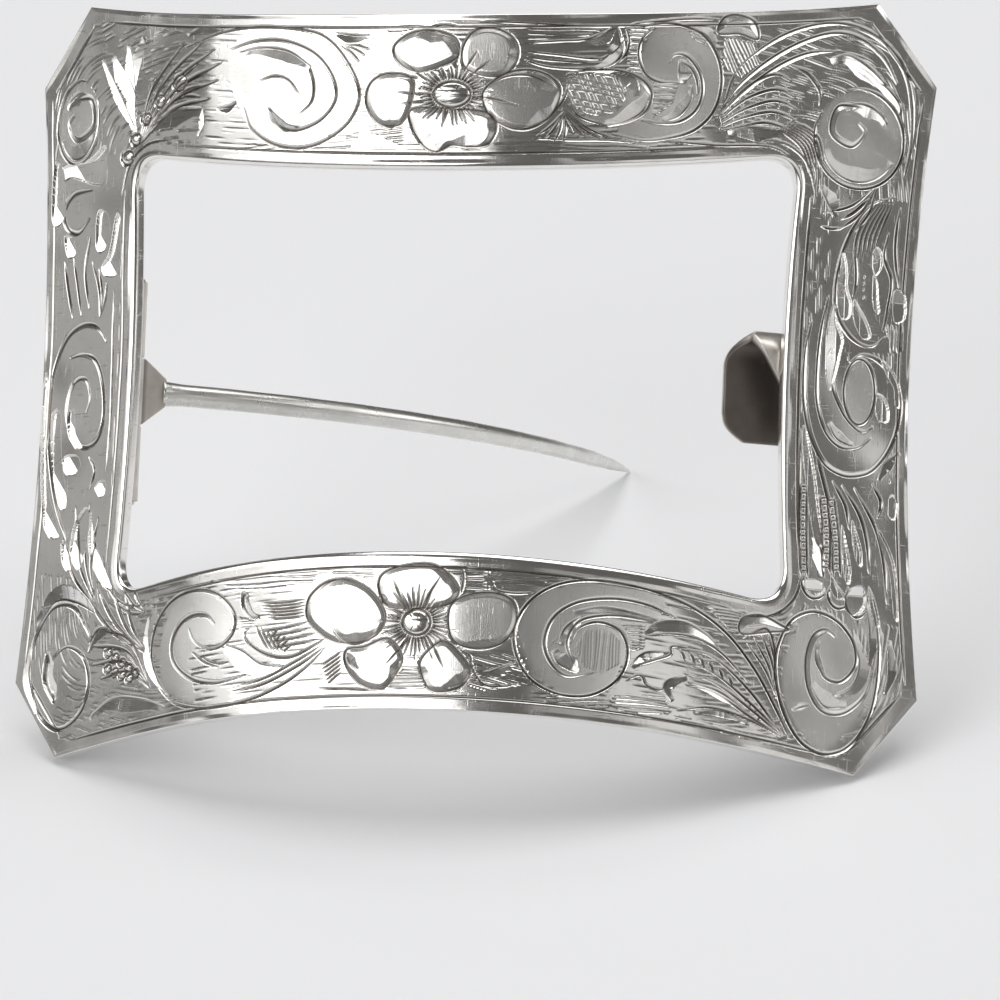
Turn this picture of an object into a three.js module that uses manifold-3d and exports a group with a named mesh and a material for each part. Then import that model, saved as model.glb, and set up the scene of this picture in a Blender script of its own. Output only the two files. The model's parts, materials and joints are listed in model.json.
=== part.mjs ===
// A bowed belt buckle with a hinged pin, in millimetres, +Z up.
// The front faces -Y. The buckle leans back on the point of its open pin, like an easel.
import * as THREE from "three";
import { mergeVertices } from "three/addons/utils/BufferGeometryUtils.js";
import Module from "manifold-3d";

// --- Driving dimensions ---------------------------------------------------
// The plate is laid out flat, u across and v up from its middle, then bowed about the v axis:
// an arc in the middle, with flat side bars that run off it as tangents.
const PLATE_THICKNESS = 0.85;
const BOW_RADIUS = 32; // of the front face
const BOW_HALF_ARC = 17.56; // the arc ends this far from the middle, along the surface

const LONG_EDGE = { u: 27.4, v: 23.7, dip: 2.58 }; // top and bottom edges: end point, hollow at the middle
const SIDE_EDGE = { u: 31.4, v: 18.9, dip: 1.18 }; // left and right edges
const OPENING = { u: 22.7, v: 13.8, longDip: 2.2, sideDip: 0.67, corner: 2.6 };

const SOLDER_SEAM = 0.1; // between soldered pieces
const RUNNING_GAP = 0.12; // between the turning tube and its neighbours
const ROD_CLEARANCE = 0.06;

// The hinge, on the back of the left bar.
const HINGE_MIDDLE_V = -0.6;
const HINGE_LENGTH = 13.8;
const HINGE_PLATE = { width: 4.2, thickness: 0.5, corner: 0.5 };
const HINGE_FROM_EDGE = 2.65; // pivot axis, outward from the opening's edge
const KNUCKLE = { outer: 0.82, bore: 0.5 };
const PIN_KNUCKLE_LENGTH = 4.1;
const ROD_HEAD = { radius: 0.64, crown: 0.45, thickness: 0.2 }; // crown is the radius of its flat end

// The pin: a bowed wire, as long as the way from the pivot to the catch.
const PIN_CHORD = 43;
const PIN_BOW = 5.37;
const PIN_OPEN_ANGLE = 54.9; // degrees away from closed
// The wire's radius, mm, at shares of the way from the pivot to the point. It starts at the tab.
const PIN_ROOT_RADIUS = 0.7;
const PIN_TAPER = [
  [0.6, 0.6],
  [0.86, 0.5],
  [0.93, 0.37],
  [0.975, 0.2],
  [1, 0.07],
];
const TAB = { reach: 2.15, tip: 1.7, thickness: 1.0 };

// The catch, on the back of the right bar: a strip bent over into a hook that opens downwards.
const HOOK = { left: -2.45, right: 3.55, top: 3.2, bottom: -3.5, depth: 3.35, sheet: 0.55 };
const HOOK_FOOT = { left: 0.35, bottom: -2.6 };
// Its rounded free edge, on the left, from the top down: from the start, each stretch's control point and
// end point. x counts from HOOK.left.
const HOOK_EDGE_START = 1.9;
const HOOK_EDGE = [
  [0.35, 2.9, 0.05, 0.9],
  [-0.05, -0.6, 0.1, -1.9],
  [0.35, -3.5, 1.5, -3.5],
];
// The strip is cut away left of a line that slants from the foot's left edge up to the roll.
const HOOK_SLANT = { bottom: -0.4, top: 2.6, left: -1.45, rollKept: 0.4 };

// How finely round forms are divided.
const RING_STEPS = { arc: 14, end: 4, corner: 8, side: 8 }; // along one quarter of the plate
const ROUND_STEPS = 32;
const WIRE_STEPS = { along: 40, around: 16 };
const PLATE_CORNER_STEPS = 6;
const HOOK_ROLL_STEPS = 16;
const HOOK_EDGE_STEPS = 12;
const CUTTER_OVERLAP = 1; // how far a cutting solid reaches past what it cuts

// --- Materials --------------------------------------------------------------
const engravedSilver = new THREE.MeshStandardMaterial({ color: 0xc9c7c2, metalness: 1, roughness: 0.22 });
const fittingSilver = new THREE.MeshStandardMaterial({ color: 0xa39d94, metalness: 1, roughness: 0.38 });
const pinWire = new THREE.MeshStandardMaterial({ color: 0xb5b5b0, metalness: 1, roughness: 0.25 });

// --- Solid helpers ----------------------------------------------------------
const wasm = await Module();
wasm.setup();

function solidFrom(geometry, matrix = new THREE.Matrix4()) {
  const plain = geometry.index ? geometry.toNonIndexed() : geometry.clone();
  const placed = new THREE.BufferGeometry().setAttribute("position", plain.getAttribute("position"));
  placed.applyMatrix4(matrix);
  const merged = mergeVertices(placed, 1e-4);
  const mesh = new wasm.Mesh({
    numProp: 3,
    vertProperties: merged.attributes.position.array,
    triVerts: new Uint32Array(merged.index.array),
  });
  return new wasm.Manifold(mesh);
}

function geometryFrom(solid) {
  const mesh = solid.getMesh();
  const geometry = new THREE.BufferGeometry();
  geometry.setAttribute("position", new THREE.BufferAttribute(mesh.vertProperties, 3));
  geometry.setIndex(new THREE.BufferAttribute(mesh.triVerts, 1));
  geometry.computeVertexNormals();
  return geometry;
}

function named(name, geometry, material) {
  const mesh = new THREE.Mesh(geometry, material);
  mesh.name = name;
  return mesh;
}

// A shape drawn in x and z, made solid from y = low to y = high.
function slab(shape, low, high, curveSegments = 1) {
  const geometry = new THREE.ExtrudeGeometry(shape, { depth: high - low, bevelEnabled: false, curveSegments });
  return geometry.rotateX(Math.PI / 2).translate(0, high, 0);
}

// A body of revolution about the z axis. Its profile is a closed run of [radius, z] pairs.
function turned(profile, steps = ROUND_STEPS) {
  const points = profile.map(([radius, z]) => new THREE.Vector2(radius, z));
  return new THREE.LatheGeometry(points, steps).rotateX(Math.PI / 2);
}

function roundedRectangle(left, bottom, right, top, radius) {
  const shape = new THREE.Shape();
  shape.moveTo(left + radius, bottom);
  shape.lineTo(right - radius, bottom);
  shape.absarc(right - radius, bottom + radius, radius, -Math.PI / 2, 0);
  shape.lineTo(right, top - radius);
  shape.absarc(right - radius, top - radius, radius, 0, Math.PI / 2);
  shape.lineTo(left + radius, top);
  shape.absarc(left + radius, top - radius, radius, Math.PI / 2, Math.PI);
  shape.lineTo(left, bottom + radius);
  shape.absarc(left + radius, bottom + radius, radius, Math.PI, Math.PI * 1.5);
  return shape;
}

// --- The plate --------------------------------------------------------------
const BOW_ANGLE = BOW_HALF_ARC / BOW_RADIUS; // each side bar turns back by this

// A point of the flat layout, depth behind the front face, on the bowed plate.
function bowed(u, v, depth) {
  const side = Math.sign(u);
  const arc = Math.min(Math.abs(u), BOW_HALF_ARC);
  const straight = Math.abs(u) - arc;
  const angle = arc / BOW_RADIUS;
  const x = (BOW_RADIUS - depth) * Math.sin(angle) + straight * Math.cos(angle);
  const y = BOW_RADIUS - (BOW_RADIUS - depth) * Math.cos(angle) + straight * Math.sin(angle);
  return new THREE.Vector3(side * x, y, v);
}

// Heights and half widths of the hollow edges: parabolas through their end points.
const hollow = (end, dip, share) => end - dip * (1 - share * share);
const outerTop = (u) => hollow(LONG_EDGE.v, LONG_EDGE.dip, u / LONG_EDGE.u);
const outerSide = (v) => hollow(SIDE_EDGE.u, SIDE_EDGE.dip, v / SIDE_EDGE.v);
const openingTop = (u) => hollow(OPENING.v, OPENING.longDip, u / OPENING.u);
const openingSide = (v) => hollow(OPENING.u, OPENING.sideDip, v / OPENING.v);

// One quarter of the ring, from the top middle to the right middle: pairs of inner and outer points.
function quarterRing() {
  const pairs = [];
  const stretch = (steps, inner, outer) => {
    for (let i = 0; i < steps; i++) pairs.push([inner(i / steps), outer(i / steps)]);
  };
  const point = (u, v) => new THREE.Vector2(u, v);
  const between = (a, b, t) => a + (b - a) * t;
  const cornerU = OPENING.u - OPENING.corner;
  const cornerV = OPENING.v - OPENING.corner;
  const corner = new THREE.QuadraticBezierCurve(
    point(cornerU, openingTop(cornerU)),
    point(OPENING.u, OPENING.v),
    point(openingSide(cornerV), cornerV),
  );
  const chamfer = new THREE.LineCurve(point(LONG_EDGE.u, LONG_EDGE.v), point(SIDE_EDGE.u, SIDE_EDGE.v));
  const alongTop = (edge, from, to) => (t) => point(between(from, to, t), edge(between(from, to, t)));
  const downSide = (edge, from) => (t) => point(edge(between(from, 0, t)), between(from, 0, t));
  const { arc, end, corner: turn, side } = RING_STEPS;
  stretch(arc, alongTop(openingTop, 0, BOW_HALF_ARC), alongTop(outerTop, 0, BOW_HALF_ARC));
  stretch(end, alongTop(openingTop, BOW_HALF_ARC, cornerU), alongTop(outerTop, BOW_HALF_ARC, LONG_EDGE.u));
  stretch(turn, (t) => corner.getPoint(t), (t) => chamfer.getPoint(t));
  stretch(side, downSide(openingSide, cornerV), downSide(outerSide, SIDE_EDGE.v));
  return pairs;
}

// The plate as a closed ring of four faces: front, outer wall, back and inner wall.
function plateGeometry() {
  const quarter = quarterRing();
  const last = [new THREE.Vector2(openingSide(0), 0), new THREE.Vector2(outerSide(0), 0)];
  const mirrored = (pairs, su, sv) =>
    pairs.map((pair) => pair.map((p) => new THREE.Vector2(p.x * su, p.y * sv)));
  const back = (pairs, end) => [end, ...pairs.slice(1).reverse()];
  const ring = [
    ...quarter,
    ...mirrored(back(quarter, last), 1, -1),
    ...mirrored(quarter, -1, -1),
    ...mirrored(back(quarter, last), -1, 1),
  ];
  const positions = ring.flatMap(([inner, outer]) =>
    [
      bowed(inner.x, inner.y, 0),
      bowed(outer.x, outer.y, 0),
      bowed(outer.x, outer.y, PLATE_THICKNESS),
      bowed(inner.x, inner.y, PLATE_THICKNESS),
    ].flatMap((p) => p.toArray()),
  );
  const index = [];
  for (let i = 0; i < ring.length; i++) {
    const here = 4 * i;
    const next = 4 * ((i + 1) % ring.length);
    for (let k = 0; k < 4; k++) {
      const l = (k + 1) % 4;
      index.push(here + k, next + l, here + l, here + k, next + k, next + l);
    }
  }
  const geometry = new THREE.BufferGeometry();
  geometry.setAttribute("position", new THREE.Float32BufferAttribute(positions, 3));
  geometry.setIndex(index);
  return geometry;
}

// A frame on the flat back of a side bar: x runs towards +X along the bar's surface from the
// opening's edge, y straight back from the bar, z up. side is -1 on the left and 1 on the right.
function barFrame(side) {
  const group = new THREE.Group();
  group.position.copy(bowed(side * openingSide(0), 0, PLATE_THICKNESS));
  group.rotation.z = side * BOW_ANGLE;
  return group;
}

// --- The hinge ----------------------------------------------------------------
const HINGE_BOTTOM = HINGE_MIDDLE_V - HINGE_LENGTH / 2;
const HINGE_TOP = HINGE_MIDDLE_V + HINGE_LENGTH / 2;
const HINGE_DEPTH = SOLDER_SEAM + HINGE_PLATE.thickness + SOLDER_SEAM + KNUCKLE.outer; // pivot behind the bar
const PIN_KNUCKLE_BOTTOM = HINGE_MIDDLE_V - PIN_KNUCKLE_LENGTH / 2;
const PIN_KNUCKLE_TOP = HINGE_MIDDLE_V + PIN_KNUCKLE_LENGTH / 2;

function tube(bottom, top) {
  return turned([
    [KNUCKLE.bore, bottom],
    [KNUCKLE.outer, bottom],
    [KNUCKLE.outer, top],
    [KNUCKLE.bore, top],
    [KNUCKLE.bore, bottom],
  ]);
}

function hingePlateGeometry() {
  const middle = -HINGE_FROM_EDGE;
  const half = HINGE_PLATE.width / 2;
  const outline = roundedRectangle(middle - half, HINGE_BOTTOM, middle + half, HINGE_TOP, HINGE_PLATE.corner);
  return slab(outline, SOLDER_SEAM, SOLDER_SEAM + HINGE_PLATE.thickness, PLATE_CORNER_STEPS);
}

function rodGeometry() {
  const radius = KNUCKLE.bore - ROD_CLEARANCE;
  const low = HINGE_BOTTOM - ROD_CLEARANCE;
  const high = HINGE_TOP + ROD_CLEARANCE;
  return turned([
    [0, low - ROD_HEAD.thickness],
    [ROD_HEAD.crown, low - ROD_HEAD.thickness],
    [ROD_HEAD.radius, low - ROD_HEAD.thickness / 2],
    [ROD_HEAD.radius, low],
    [radius, low],
    [radius, high],
    [ROD_HEAD.radius, high],
    [ROD_HEAD.radius, high + ROD_HEAD.thickness / 2],
    [ROD_HEAD.crown, high + ROD_HEAD.thickness],
    [0, high + ROD_HEAD.thickness],
  ]);
}

// --- The pin --------------------------------------------------------------------
// In the pin's frame the pivot is the z axis, the point lies on +x, and the wire bows towards -y.
const wireMiddle = (share) => new THREE.Vector2(PIN_CHORD * share, -4 * PIN_BOW * share * (1 - share));
const wireAngle = (share) => Math.atan2(-4 * PIN_BOW * (1 - 2 * share), PIN_CHORD);

function pinRootGeometry() {
  const barrel = solidFrom(tube(PIN_KNUCKLE_BOTTOM, PIN_KNUCKLE_TOP));
  const inside = (KNUCKLE.bore + KNUCKLE.outer) / 2;
  const half = PIN_KNUCKLE_LENGTH / 2;
  const tab = new THREE.Shape([
    new THREE.Vector2(inside, HINGE_MIDDLE_V - half),
    new THREE.Vector2(KNUCKLE.outer, HINGE_MIDDLE_V - half),
    new THREE.Vector2(TAB.reach, HINGE_MIDDLE_V - TAB.tip / 2),
    new THREE.Vector2(TAB.reach, HINGE_MIDDLE_V + TAB.tip / 2),
    new THREE.Vector2(KNUCKLE.outer, HINGE_MIDDLE_V + half),
    new THREE.Vector2(inside, HINGE_MIDDLE_V + half),
  ]);
  const solid = barrel.add(solidFrom(slab(tab, -TAB.thickness / 2, TAB.thickness / 2)));
  return geometryFrom(solid).rotateZ(wireAngle(0));
}

function pinStemGeometry() {
  const start = (TAB.reach + SOLDER_SEAM) / Math.hypot(PIN_CHORD, 4 * PIN_BOW);
  const stations = [[start, PIN_ROOT_RADIUS], ...PIN_TAPER];
  const radiusAt = (share) => {
    const i = Math.max(1, stations.findIndex(([s]) => s >= share - 1e-9));
    const [[s0, r0], [s1, r1]] = [stations[i - 1], stations[i]];
    return THREE.MathUtils.mapLinear(share, s0, s1, r0, r1);
  };
  const steps = WIRE_STEPS.along;
  const shares = Array.from({ length: steps + 1 }, (_, i) => start + ((1 - start) * i) / steps);
  const profile = [[0, start], ...shares.map((share) => [radiusAt(share), share]), [0, 1]];
  const geometry = turned(profile, WIRE_STEPS.around);
  const position = geometry.getAttribute("position");
  for (let i = 0; i < position.count; i++) {
    const share = position.getZ(i);
    const angle = wireAngle(share);
    const middle = wireMiddle(share);
    const across = position.getX(i);
    position.setXYZ(
      i,
      middle.x - across * Math.sin(angle),
      middle.y + across * Math.cos(angle),
      HINGE_MIDDLE_V + position.getY(i),
    );
  }
  return geometry;
}

// --- The catch --------------------------------------------------------------------
// In the right bar's frame. The strip leaves the bar, rolls over at the top and hangs down behind.
function hookGeometry() {
  const front = SOLDER_SEAM;
  const rear = SOLDER_SEAM + HOOK.depth;
  const outer = HOOK.depth / 2;
  const inner = outer - HOOK.sheet;
  const rollY = front + outer;
  const rollZ = HOOK.top - outer;
  const profile = new THREE.Shape();
  profile.moveTo(front, HOOK_FOOT.bottom);
  profile.lineTo(front + HOOK.sheet, HOOK_FOOT.bottom);
  profile.lineTo(front + HOOK.sheet, rollZ);
  profile.absarc(rollY, rollZ, inner, Math.PI, 0, true);
  profile.lineTo(rear - HOOK.sheet, HOOK.bottom);
  profile.lineTo(rear, HOOK.bottom);
  profile.lineTo(rear, rollZ);
  profile.absarc(rollY, rollZ, outer, 0, Math.PI, false);
  const strip = new THREE.ExtrudeGeometry(profile, {
    depth: HOOK.right - HOOK.left,
    bevelEnabled: false,
    curveSegments: HOOK_ROLL_STEPS,
  });
  // The profile's x is the bar's depth and its y the height: turn them into y and z.
  const turn = new THREE.Matrix4().makeBasis(
    new THREE.Vector3(0, 1, 0),
    new THREE.Vector3(0, 0, 1),
    new THREE.Vector3(1, 0, 0),
  );
  turn.setPosition(HOOK.left, 0, 0);

  const outline = new THREE.Shape();
  outline.moveTo(HOOK.right, HOOK.bottom);
  outline.lineTo(HOOK.right, HOOK.top);
  outline.lineTo(HOOK.left + HOOK_EDGE_START, HOOK.top);
  for (const [controlX, controlZ, x, z] of HOOK_EDGE) {
    outline.quadraticCurveTo(HOOK.left + controlX, controlZ, HOOK.left + x, z);
  }
  const trim = solidFrom(slab(outline, 0, rear + CUTTER_OVERLAP, HOOK_EDGE_STEPS));

  const wasteLeft = HOOK.left - CUTTER_OVERLAP;
  const wasteBottom = HOOK.bottom - CUTTER_OVERLAP;
  const waste = new THREE.Shape([
    new THREE.Vector2(wasteLeft, wasteBottom),
    new THREE.Vector2(HOOK_FOOT.left, wasteBottom),
    new THREE.Vector2(HOOK_FOOT.left, HOOK_SLANT.bottom),
    new THREE.Vector2(HOOK_SLANT.left, HOOK_SLANT.top),
    new THREE.Vector2(wasteLeft, HOOK_SLANT.top),
  ]);
  const slant = solidFrom(slab(waste, 0, rollY - HOOK_SLANT.rollKept));
  const solid = solidFrom(strip, turn).intersect(trim).subtract(slant);
  return geometryFrom(solid);
}

// --- Assembly ---------------------------------------------------------------------
const buckle = new THREE.Group();
buckle.add(named("frame", plateGeometry(), engravedSilver));

const leftBar = barFrame(-1);
const hinge = new THREE.Group();
hinge.position.set(-HINGE_FROM_EDGE, HINGE_DEPTH, 0);
hinge.add(
  named("hinge_knuckle_upper", tube(PIN_KNUCKLE_TOP + RUNNING_GAP, HINGE_TOP), fittingSilver),
  named("hinge_knuckle_lower", tube(HINGE_BOTTOM, PIN_KNUCKLE_BOTTOM - RUNNING_GAP), fittingSilver),
  named("hinge_rod", rodGeometry(), fittingSilver),
);
leftBar.add(named("hinge_plate", hingePlateGeometry(), fittingSilver), hinge);

const pin = new THREE.Group(); // turned against the bar, so that its angle counts from the closed pin
pin.rotation.z = BOW_ANGLE + THREE.MathUtils.degToRad(PIN_OPEN_ANGLE);
pin.add(named("pin_root", pinRootGeometry(), fittingSilver), named("pin_stem", pinStemGeometry(), pinWire));
hinge.add(pin);

const rightBar = barFrame(1);
rightBar.add(named("catch_hook", hookGeometry(), fittingSilver));
buckle.add(leftBar, rightBar);

// The buckle leans back until its lower corners and the pin's point are level.
buckle.updateMatrixWorld(true);
const point = new THREE.Vector3(...wireMiddle(1).toArray(), HINGE_MIDDLE_V).applyMatrix4(pin.matrixWorld);
const foot = bowed(LONG_EDGE.u, -LONG_EDGE.v, PLATE_THICKNESS);
buckle.rotation.x = -Math.atan2(point.z - foot.z, point.y - foot.y);

// The origin is the middle of the footprint, on the surface that the buckle stands on.
const part = new THREE.Group();
part.add(buckle);
const box = new THREE.Box3().setFromObject(part, true);
const middle = box.getCenter(new THREE.Vector3());
buckle.position.set(-middle.x, -middle.y, -box.min.z);

export default part;
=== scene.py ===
"""The looks of the bowed, engraved belt buckle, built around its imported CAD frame."""
import json
import math

import bmesh
import bpy
import numpy as np
from mathutils import Matrix, Vector


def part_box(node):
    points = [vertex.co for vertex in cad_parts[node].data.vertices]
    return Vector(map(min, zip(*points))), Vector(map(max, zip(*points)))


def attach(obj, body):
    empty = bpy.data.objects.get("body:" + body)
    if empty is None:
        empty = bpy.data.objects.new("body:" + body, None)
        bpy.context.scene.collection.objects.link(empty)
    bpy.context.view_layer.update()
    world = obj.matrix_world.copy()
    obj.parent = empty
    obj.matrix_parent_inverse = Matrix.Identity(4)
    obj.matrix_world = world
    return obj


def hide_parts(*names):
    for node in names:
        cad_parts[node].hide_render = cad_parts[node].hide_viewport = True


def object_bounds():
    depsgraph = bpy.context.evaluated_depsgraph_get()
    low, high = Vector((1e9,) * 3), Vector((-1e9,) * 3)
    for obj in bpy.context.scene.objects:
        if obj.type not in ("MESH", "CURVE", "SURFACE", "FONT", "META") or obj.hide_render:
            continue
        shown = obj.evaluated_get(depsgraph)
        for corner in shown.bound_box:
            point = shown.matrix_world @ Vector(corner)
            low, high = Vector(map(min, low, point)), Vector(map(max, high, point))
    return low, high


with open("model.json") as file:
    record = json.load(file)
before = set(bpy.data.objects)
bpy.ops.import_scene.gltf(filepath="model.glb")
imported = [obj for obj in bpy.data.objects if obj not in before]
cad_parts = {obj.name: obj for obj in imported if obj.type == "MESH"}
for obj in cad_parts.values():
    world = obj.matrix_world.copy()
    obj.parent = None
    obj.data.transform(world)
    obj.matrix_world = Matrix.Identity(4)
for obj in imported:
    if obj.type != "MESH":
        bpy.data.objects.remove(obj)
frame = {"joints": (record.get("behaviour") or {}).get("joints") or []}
cad_low, cad_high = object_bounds()

MM = 0.001

# --- The plate's layout, in millimetres --------------------------------------------------------
# The plate is laid out flat, u across and v up from its middle, then bowed about the v axis.
PLATE_THICKNESS = 0.85
BOW_RADIUS = 32.0
BOW_HALF_ARC = 17.56
BOW_ANGLE = BOW_HALF_ARC / BOW_RADIUS

LONG_EDGE_U, LONG_EDGE_V, LONG_EDGE_DIP = 27.4, 23.7, 2.58
SIDE_EDGE_U, SIDE_EDGE_V, SIDE_EDGE_DIP = 31.4, 18.9, 1.18
OPENING_U, OPENING_V, OPENING_LONG_DIP, OPENING_SIDE_DIP, OPENING_CORNER = 22.7, 13.8, 2.2, 0.67, 2.6

MESH_PITCH = 0.055  # between the vertices of the engraved face
FACE_STEPS = 164  # across a bar
INNER_ROLL, INNER_DROP = 0.36, 0.26  # the burnished inner edge: its width and its depth
OUTER_ROLL = 0.07
BACK_ROLL = 0.12

joint = frame["joints"][0]
AXIS = Vector(joint["axis"])
LEAN = math.atan2(AXIS.y, AXIS.z)


def leaned(points):
    """Layout space, in millimetres, to the row frame's directions: the buckle leans back."""
    x, y, z = np.moveaxis(np.asarray(points, float), -1, 0)
    c, s = math.cos(LEAN), math.sin(LEAN)
    return np.stack([x, y * c + z * s, z * c - y * s], -1) * MM


def bowed(u, v, depth):
    """A point of the flat layout, depth behind the front face, on the bowed plate."""
    arc = np.clip(u, -BOW_HALF_ARC, BOW_HALF_ARC)
    straight = np.abs(u) - np.abs(arc)
    angle = arc / BOW_RADIUS
    radius = BOW_RADIUS - depth
    x = radius * np.sin(angle) + np.sign(u) * straight * np.cos(angle)
    y = BOW_RADIUS - radius * np.cos(angle) + straight * np.sin(np.abs(angle))
    return np.stack([x, y, v + 0 * x], -1)


def hollow(end, dip, share):
    return end - dip * (1 - share * share)


def outer_top(u):
    return hollow(LONG_EDGE_V, LONG_EDGE_DIP, u / LONG_EDGE_U)


def outer_side(v):
    return hollow(SIDE_EDGE_U, SIDE_EDGE_DIP, v / SIDE_EDGE_V)


def opening_top(u):
    return hollow(OPENING_V, OPENING_LONG_DIP, u / OPENING_U)


def opening_side(v):
    return hollow(OPENING_U, OPENING_SIDE_DIP, v / OPENING_V)


def quarter_ring():
    """Inner and outer points of one quarter of the plate, from the top middle to the right middle."""
    corner_u, corner_v = OPENING_U - OPENING_CORNER, OPENING_V - OPENING_CORNER

    def shares(length):
        return np.arange(round(length / MESH_PITCH)) / round(length / MESH_PITCH)

    def along_top(edge, start, end, t):
        u = start + (end - start) * t
        return np.stack([u, edge(u)], -1)

    def down_side(edge, start, t):
        v = start * (1 - t)
        return np.stack([edge(v), v], -1)

    middle = shares(BOW_HALF_ARC)
    fan = shares(LONG_EDGE_U - BOW_HALF_ARC)
    turn = shares(math.hypot(SIDE_EDGE_U - LONG_EDGE_U, LONG_EDGE_V - SIDE_EDGE_V))
    side = shares(SIDE_EDGE_V)
    t = turn[:, None]
    a = np.array([corner_u, opening_top(corner_u)])
    b = np.array([OPENING_U, OPENING_V])
    c = np.array([opening_side(corner_v), corner_v])
    round_corner = a * (1 - t) ** 2 + b * 2 * t * (1 - t) + c * t**2
    long_end = np.array([LONG_EDGE_U, LONG_EDGE_V])
    side_end = np.array([SIDE_EDGE_U, SIDE_EDGE_V])
    inner = [
        along_top(opening_top, 0, BOW_HALF_ARC, middle),
        along_top(opening_top, BOW_HALF_ARC, corner_u, fan),
        round_corner,
        down_side(opening_side, corner_v, side),
    ]
    outer = [
        along_top(outer_top, 0, BOW_HALF_ARC, middle),
        along_top(outer_top, BOW_HALF_ARC, LONG_EDGE_U, fan),
        long_end * (1 - t) + side_end * t,
        down_side(outer_side, SIDE_EDGE_V, side),
    ]
    return np.vstack(inner), np.vstack(outer)


def whole_ring(quarter, end):
    """The quarter, mirrored into a closed ring. end is the point just past the quarter's last."""
    back = np.vstack([end, quarter[:0:-1]])
    flip = [1, -1]
    return np.vstack([quarter, back * flip, -quarter, -back * flip])


inner_quarter, outer_quarter = quarter_ring()
inner_edge = whole_ring(inner_quarter, [opening_side(0), 0])
outer_edge = whole_ring(outer_quarter, [outer_side(0), 0])
bar_width = np.linalg.norm(outer_edge - inner_edge, axis=1)


def ring_section():
    """One turn around the plate's section: for each step the distance from the inner edge, as a share of
    the free width plus millimetres, and the depth. Also the range of steps that are the front face."""
    quarter_turn = np.linspace(0, math.pi / 2, 6)[1:-1]
    rows = []  # (share of the bar's width, millimetres, depth)
    low = PLATE_THICKNESS - BACK_ROLL
    rows += [(0, 0, d) for d in np.linspace(low, INNER_DROP, 4)]
    rows += [(0, INNER_ROLL * (1 - math.cos(a)), INNER_DROP * (1 - math.sin(a))) for a in quarter_turn]
    first = len(rows)
    for share in np.linspace(0, 1, FACE_STEPS):
        rows.append((share, INNER_ROLL * (1 - share) - OUTER_ROLL * share, 0))
    last = len(rows)
    rows += [(1, -OUTER_ROLL * (1 - math.sin(a)), OUTER_ROLL * (1 - math.cos(a))) for a in quarter_turn]
    rows += [(1, 0, d) for d in np.linspace(OUTER_ROLL, low, 4)]
    rows += [(1, -BACK_ROLL * (1 - math.cos(a)), low + BACK_ROLL * math.sin(a)) for a in quarter_turn]
    for share in np.linspace(1, 0, 9):
        rows.append((share, BACK_ROLL * (1 - 2 * share), PLATE_THICKNESS))
    rows += [(0, BACK_ROLL * (1 - math.sin(a)), low + BACK_ROLL * math.cos(a)) for a in quarter_turn]
    return np.array(rows), first, last


section, FACE_FIRST, FACE_LAST = ring_section()
from_inner = section[None, :, 0] * bar_width[:, None] + section[None, :, 1]
share_out = (from_inner / bar_width[:, None])[..., None]
layout = inner_edge[:, None] * (1 - share_out) + outer_edge[:, None] * share_out  # (station, step, uv)
face = layout[:, FACE_FIRST:FACE_LAST]
face_u, face_v = face[..., 0].ravel(), face[..., 1].ravel()
cuts = np.zeros(face_u.size)  # metal taken away by the graver
# On the plate this holds tarnish in the cuts; on the catch the same name holds painted shade with tarnish
# inside the roll.
tarnish_and_shade = np.zeros(face_u.size)  # 1 where tarnish lies dark in a cut
hills = np.zeros(face_u.size)  # gentle shape of the surface, positive down
brushed = np.zeros(face_u.size)  # 1 where the metal is left brushed, 0 where it is polished
taken = np.zeros(face_u.size, bool)  # where ornament lies, so that the ground isn't lined

# Vertices sorted into square cells, to find those near a line quickly.
CELL = 0.5
CELL_COLUMNS = 200


def cell_of(u, v):
    return (np.floor(u / CELL).astype(int) + CELL_COLUMNS // 2) * CELL_COLUMNS + (
        np.floor(v / CELL).astype(int) + CELL_COLUMNS // 2
    )


cell_order = np.argsort(cell_of(face_u, face_v), kind="stable")
cell_starts = np.searchsorted(cell_of(face_u, face_v)[cell_order], np.arange(CELL_COLUMNS**2 + 1))


def nodes_in(cells):
    return np.concatenate([cell_order[cell_starts[c] : cell_starts[c + 1]] for c in np.unique(cells)] or [[]])


def nodes_near(curve, reach):
    span = np.arange(-math.ceil(reach / CELL), math.ceil(reach / CELL) + 1) * CELL
    du, dv = np.meshgrid(np.clip(span, -reach, reach), np.clip(span, -reach, reach))
    u = curve[:, 0, None] + du.ravel()
    v = curve[:, 1, None] + dv.ravel()
    return nodes_in(cell_of(u, v).ravel()).astype(int)


def nodes_inside(outline):
    """Vertices inside a closed outline, by counting the edges to their right."""
    low, high = outline.min(0), outline.max(0)
    u, v = np.meshgrid(np.arange(low[0], high[0] + CELL, CELL), np.arange(low[1], high[1] + CELL, CELL))
    found = nodes_in(cell_of(u, v).ravel()).astype(int)
    pu, pv = face_u[found], face_v[found]
    odd = np.zeros(found.size, bool)
    for (u0, v0), (u1, v1) in zip(outline, np.roll(outline, -1, 0)):
        if v0 == v1:
            continue
        crosses = (v0 > pv) != (v1 > pv)
        odd ^= crosses & (pu < u0 + (u1 - u0) * (pv - v0) / (v1 - v0))
    return found[odd]


# --- The engraver's tools ------------------------------------------------------------------------
NARROW_WALL = 0.2
THINNEST_LINE = 0.19
LINE_SOOT = 0.55
POLISH_WAVE = 0.0012  # height of the waves that polishing leaves, as a share of their length
POLISH_WAVES = 14
GROUND_MARGIN = 1.15  # the plain band along each edge

random = np.random.default_rng(7)


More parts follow.
